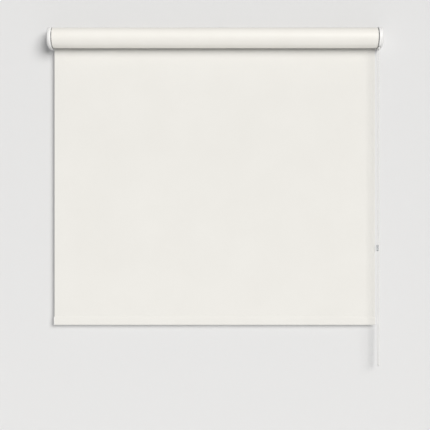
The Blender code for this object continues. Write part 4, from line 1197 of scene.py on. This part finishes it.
def make_clutch():
    """Fixed spindle, two wrap springs on it, and the drum that turns the tube."""
    spindle_low, spindle_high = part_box("clutch_spindle")
    drum_low, drum_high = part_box("clutch_drum")
    ease = CLUTCH_EASE
    wheel_outer = WHEEL_HIGH.x
    spindle = turned([
        (spindle_low.x, 0), (spindle_low.x, SPINDLE_RADIUS - ease),
        (spindle_low.x + ease, SPINDLE_RADIUS), (wheel_outer, SPINDLE_RADIUS), (wheel_outer, 0),
    ])
    neck = rod(wheel_outer - CUP_FLOOR, spindle_high.x, NECK_RADIUS, segments=NECK_SIDES)
    hole = rod(CUP_OUTER_X - SCREW_LENGTH - CUP_FLOOR, CUP_OUTER_X, SCREW_RADIUS + HOLE_PLAY)
    add_piece("clutch_spindle_moulding", fitted(spindle, joined=[neck], cut=[hole]), GREY,
              "cassette", ["clutch_spindle"])
    face = TUBE_RIGHT + GAP
    drum = turned([
        (drum_high.x, DRUM_BORE), (drum_high.x, PLUG_RIM - ease), (drum_high.x - ease, PLUG_RIM),
        (face, PLUG_RIM), (face, PLUG_BODY), (drum_low.x + 3 * ease, PLUG_BODY),
        (drum_low.x, PLUG_BODY - 3 * ease), (drum_low.x, DRUM_BORE),
    ], ring=True)
    cut = [key_room(drum_low.x - KEY_ROOM_PAST, face - KEY_ROOM_SHY)]
    for angle in FLUTE_ANGLES:
        cut.append(rod(drum_low.x - MM, face - FLUTE_FROM_FACE, FLUTE_RADIUS,
                       (0, *about_axis(PLUG_BODY, angle))))
    add_piece("clutch_drum_moulding", fitted(drum, cut=cut), GREY, "roller", ["clutch_drum"])
    for number in ("1", "2"):
        node = "wrap_spring_" + number
        low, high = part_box(node)
        add_spring("clutch_" + node, node, low.x + WRAP_WIRE / 2, high.x - WRAP_WIRE / 2,
                   (high.z - low.z) / 2 - WRAP_WIRE / 2, WRAP_WIRE, WRAP_TURNS)


def make_chain_wheel():
    """The wheel, with a round pocket for each bead and a slot for the core between them."""
    ease = WHEEL_EASE
    rim = PITCH_RADIUS + RIM_ABOVE_PITCH
    inner_x = CHAIN_X - (WHEEL_HIGH.x - CHAIN_X)
    slot_low = PITCH_RADIUS - CHAIN_CORE
    half = CHAIN_CORE / 2 + CORE_PLAY
    wheel = turned([
        (WHEEL_LOW.x, WHEEL_BORE), (WHEEL_LOW.x, WHEEL_HUB - ease),
        (WHEEL_LOW.x + ease, WHEEL_HUB), (inner_x, WHEEL_HUB), (inner_x, rim - ease),
        (inner_x + ease, rim), (CHAIN_X - half, rim), (CHAIN_X - half, slot_low),
        (CHAIN_X + half, slot_low), (CHAIN_X + half, rim), (WHEEL_HIGH.x - ease, rim),
        (WHEEL_HIGH.x, rim - ease), (WHEEL_HIGH.x, WHEEL_BORE),
    ], ring=True)
    pockets = []
    for y, z in arc(AXIS, PITCH_RADIUS, 0, 360, BEAD_POCKETS)[:-1]:
        pocket = bmesh.new()
        bmesh.ops.create_icosphere(pocket, subdivisions=POCKET_STEPS,
                                   radius=CHAIN_BEAD / 2 + POCKET_PLAY,
                                   matrix=Matrix.Translation((CHAIN_X, y, z)))
        pockets.append(pocket)
    add_piece("pocketed_chain_wheel", fitted(wheel, cut=pockets), GREY, "roller", ["chain_wheel"])


def make_chain_guard():
    """Keeps the chain in the wheel: a wall round the wheel's upper half and a plate inside it."""
    outer = GUARD_HIGH.z
    inner = outer - GUARD_WALL
    hole = WHEEL_HUB + GUARD_PLAY
    ease = WHEEL_EASE
    near, far = GUARD_LOW.x, GUARD_HIGH.x
    start = Matrix.Rotation(math.radians(GUARD_FROM), 4, "X")
    shape = bmesh.new()
    corners = []
    for x, radius in ((near, hole), (near, outer - ease), (near + ease, outer),
                      (far - ease, outer), (far, outer - ease), (far, inner),
                      (near + GUARD_PLATE, inner), (near + GUARD_PLATE, hole)):
        corners.append(shape.verts.new(Vector((0, AXIS_Y, 0)) + start @ Vector((x, radius, 0))))
    face = shape.faces.new(corners)
    bmesh.ops.spin(shape, geom=[face], cent=(0, AXIS_Y, 0), axis=(1, 0, 0),
                   angle=math.radians(GUARD_SWEEP), steps=GUARD_STEPS)
    add_piece("chain_guard_moulding", outward(shape), WHITE, "cassette", ["chain_guard"])


# ---- Hanging cloth and hem ----


def cloth_sway(x):
    """How far the hanging cloth stands off its flat plane, which differs only along X."""
    across = (x - FABRIC_LEFT) / (FABRIC_RIGHT - FABRIC_LEFT)
    return SWAY * sum(share * math.sin(2 * math.pi * waves * across + phase)
                      for share, waves, phase in SWAY_WAVES)


def make_ply(name, front_y, top, foot, body, keep):
    """One ply of the hanging cloth."""
    shape = bmesh.new()
    bmesh.ops.create_grid(shape, x_segments=CLOTH_ACROSS, y_segments=CLOTH_DOWN, size=0.5,
                          matrix=Matrix.Rotation(math.pi / 2, 4, "X"))
    width = FABRIC_RIGHT - FABRIC_LEFT
    for vert in shape.verts:
        x = FABRIC_LEFT + (vert.co.x + 0.5) * width
        z = foot + (vert.co.z + 0.5) * (top - foot)
        vert.co = (x, front_y + cloth_sway(x), z)
    outward(shape)
    if shape.faces[:][0].normal.y > 0:
        bmesh.ops.reverse_faces(shape, faces=shape.faces[:])
    ply = add_piece(name, thickened(shape, (0, PLY, 0)), WEAVE, body, ["fabric_drop"],
                    back=BACKING)
    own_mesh(ply)


def make_hanging_cloth():
    """Two plies lie together: the face keeps to the roller and the lining to the hem."""
    foot = HEM_TOP - PLY_TUCK
    left_below = -HEM_TOP - TRAVEL_UP
    make_ply("cloth_face", DROP_LOW.y + PLY_PLAY, DROP_HIGH.z, foot, "cassette",
             left_below / -HEM_TOP)
    make_ply("cloth_lining", FABRIC_Y + 2 * PLY_PLAY, LINING_TOP, foot, "bottom_rail",
             LINING_KEPT)


def hem_outline(half, low, right, foot_steps=16):
    """A flat pocket's outline about the cloth's plane: its round foot, its right side as
    (distance from the plane, height), and the same side mirrored."""
    foot = arc((0, low + half), half, 180, 360, foot_steps)
    left = [(-y, z) for y, z in reversed(right)]
    return [(FABRIC_Y + y, z) for y, z in foot + right + left]


def make_hem():
    """The pocket at the cloth's foot, its weld, the weight bar and the end plugs."""
    outer_half = (HEM_HIGH.y - HEM_LOW.y) / 2
    inner_half = outer_half - CLOTH
    taper_from = BAR_HIGH.z
    taper_to = HEM_TOP - HEM_WELD
    right = [(outer_half, taper_from),
             (outer_half * HEM_SHOULDER_SHARE, taper_from + HEM_SHOULDER_RISE),
             (CLOTH * HEM_NECK_SHARE, taper_to - HEM_NECK_DROP), (CLOTH, taper_to)]
    for k in range(WELD_LINES):
        z = taper_to + (HEM_TOP - taper_to) * (k + 0.5) / WELD_LINES
        right.append((CLOTH - (WELD_GROOVE if k % 2 else 0), z))
    right.append((CLOTH * HEM_LIP_SHARE, HEM_TOP))
    outside = hem_outline(outer_half, HEM_FOOT, right, HEM_STEPS)
    inside = hem_outline(inner_half, HEM_FOOT + CLOTH, [
        (inner_half, taper_from), (CLOTH / 4, taper_to - CLOTH), (CLOTH / 4, taper_to)])
    shape = run_along([outside, inside], FABRIC_LEFT, FABRIC_RIGHT)
    hem = add_piece("hem_pocket", shape, WEAVE, "bottom_rail", ["fabric_hem"], back=BACKING)
    bar_half = (BAR_HIGH.y - BAR_LOW.y) / 2
    bar = rounded(box_outline((FABRIC_Y - bar_half, BAR_LOW.z),
                              (FABRIC_Y + bar_half, BAR_HIGH.z)), BAR_CORNER)
    shape = ease_ends(run_along([bar], BAR_LOW.x, BAR_HIGH.x), BAR_EASE)
    add_piece("weight_bar", shape, ALUMINIUM, "bottom_rail", ["hem_bar"])
    for name, side in SIDES:
        low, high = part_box("hem_plug_" + name)
        outer, bar_end = (high.x, BAR_HIGH.x) if side > 0 else (low.x, BAR_LOW.x)
        face = outer - side * PLUG_FLANGE
        flange = hem_outline(outer_half, low.z, [
            (outer_half, taper_from), (CLOTH, taper_from + outer_half), (CLOTH, high.z)])
        cap = ease_ends(run_along([flange], face, outer), PLUG_EASE)
        tongue = run_along([bar], bar_end + side * GAP, face + side * MM)
        add_piece("hem_end_plug_" + name, fitted(cap, joined=[tongue]), WHITE, "bottom_rail",
                  ["hem_plug_" + name])


# ---- The blind ----

make_camera()
make_bead_chain(make_chain_connector())
make_world()
make_backdrop()
make_lights()
make_back_rail()
make_front_fascia()
for place in ("left", "centre", "right"):
    make_bracket(place)
for end, end_side in SIDES:
    make_end_cup(end, end_side)
    make_end_cover(end, end_side)
    for height, port in PORTS:
        make_screw(f"{end}_{height}_cup_screw", end_side, port, f"cup_screw_{end}_{height}")
make_screw("spindle_fixing_screw", 1, AXIS, "spindle_screw")
make_roller_tube()
make_fabric_roll()
make_idle_end()
make_clutch()
make_chain_wheel()
make_chain_guard()
make_hanging_cloth()
make_hem()
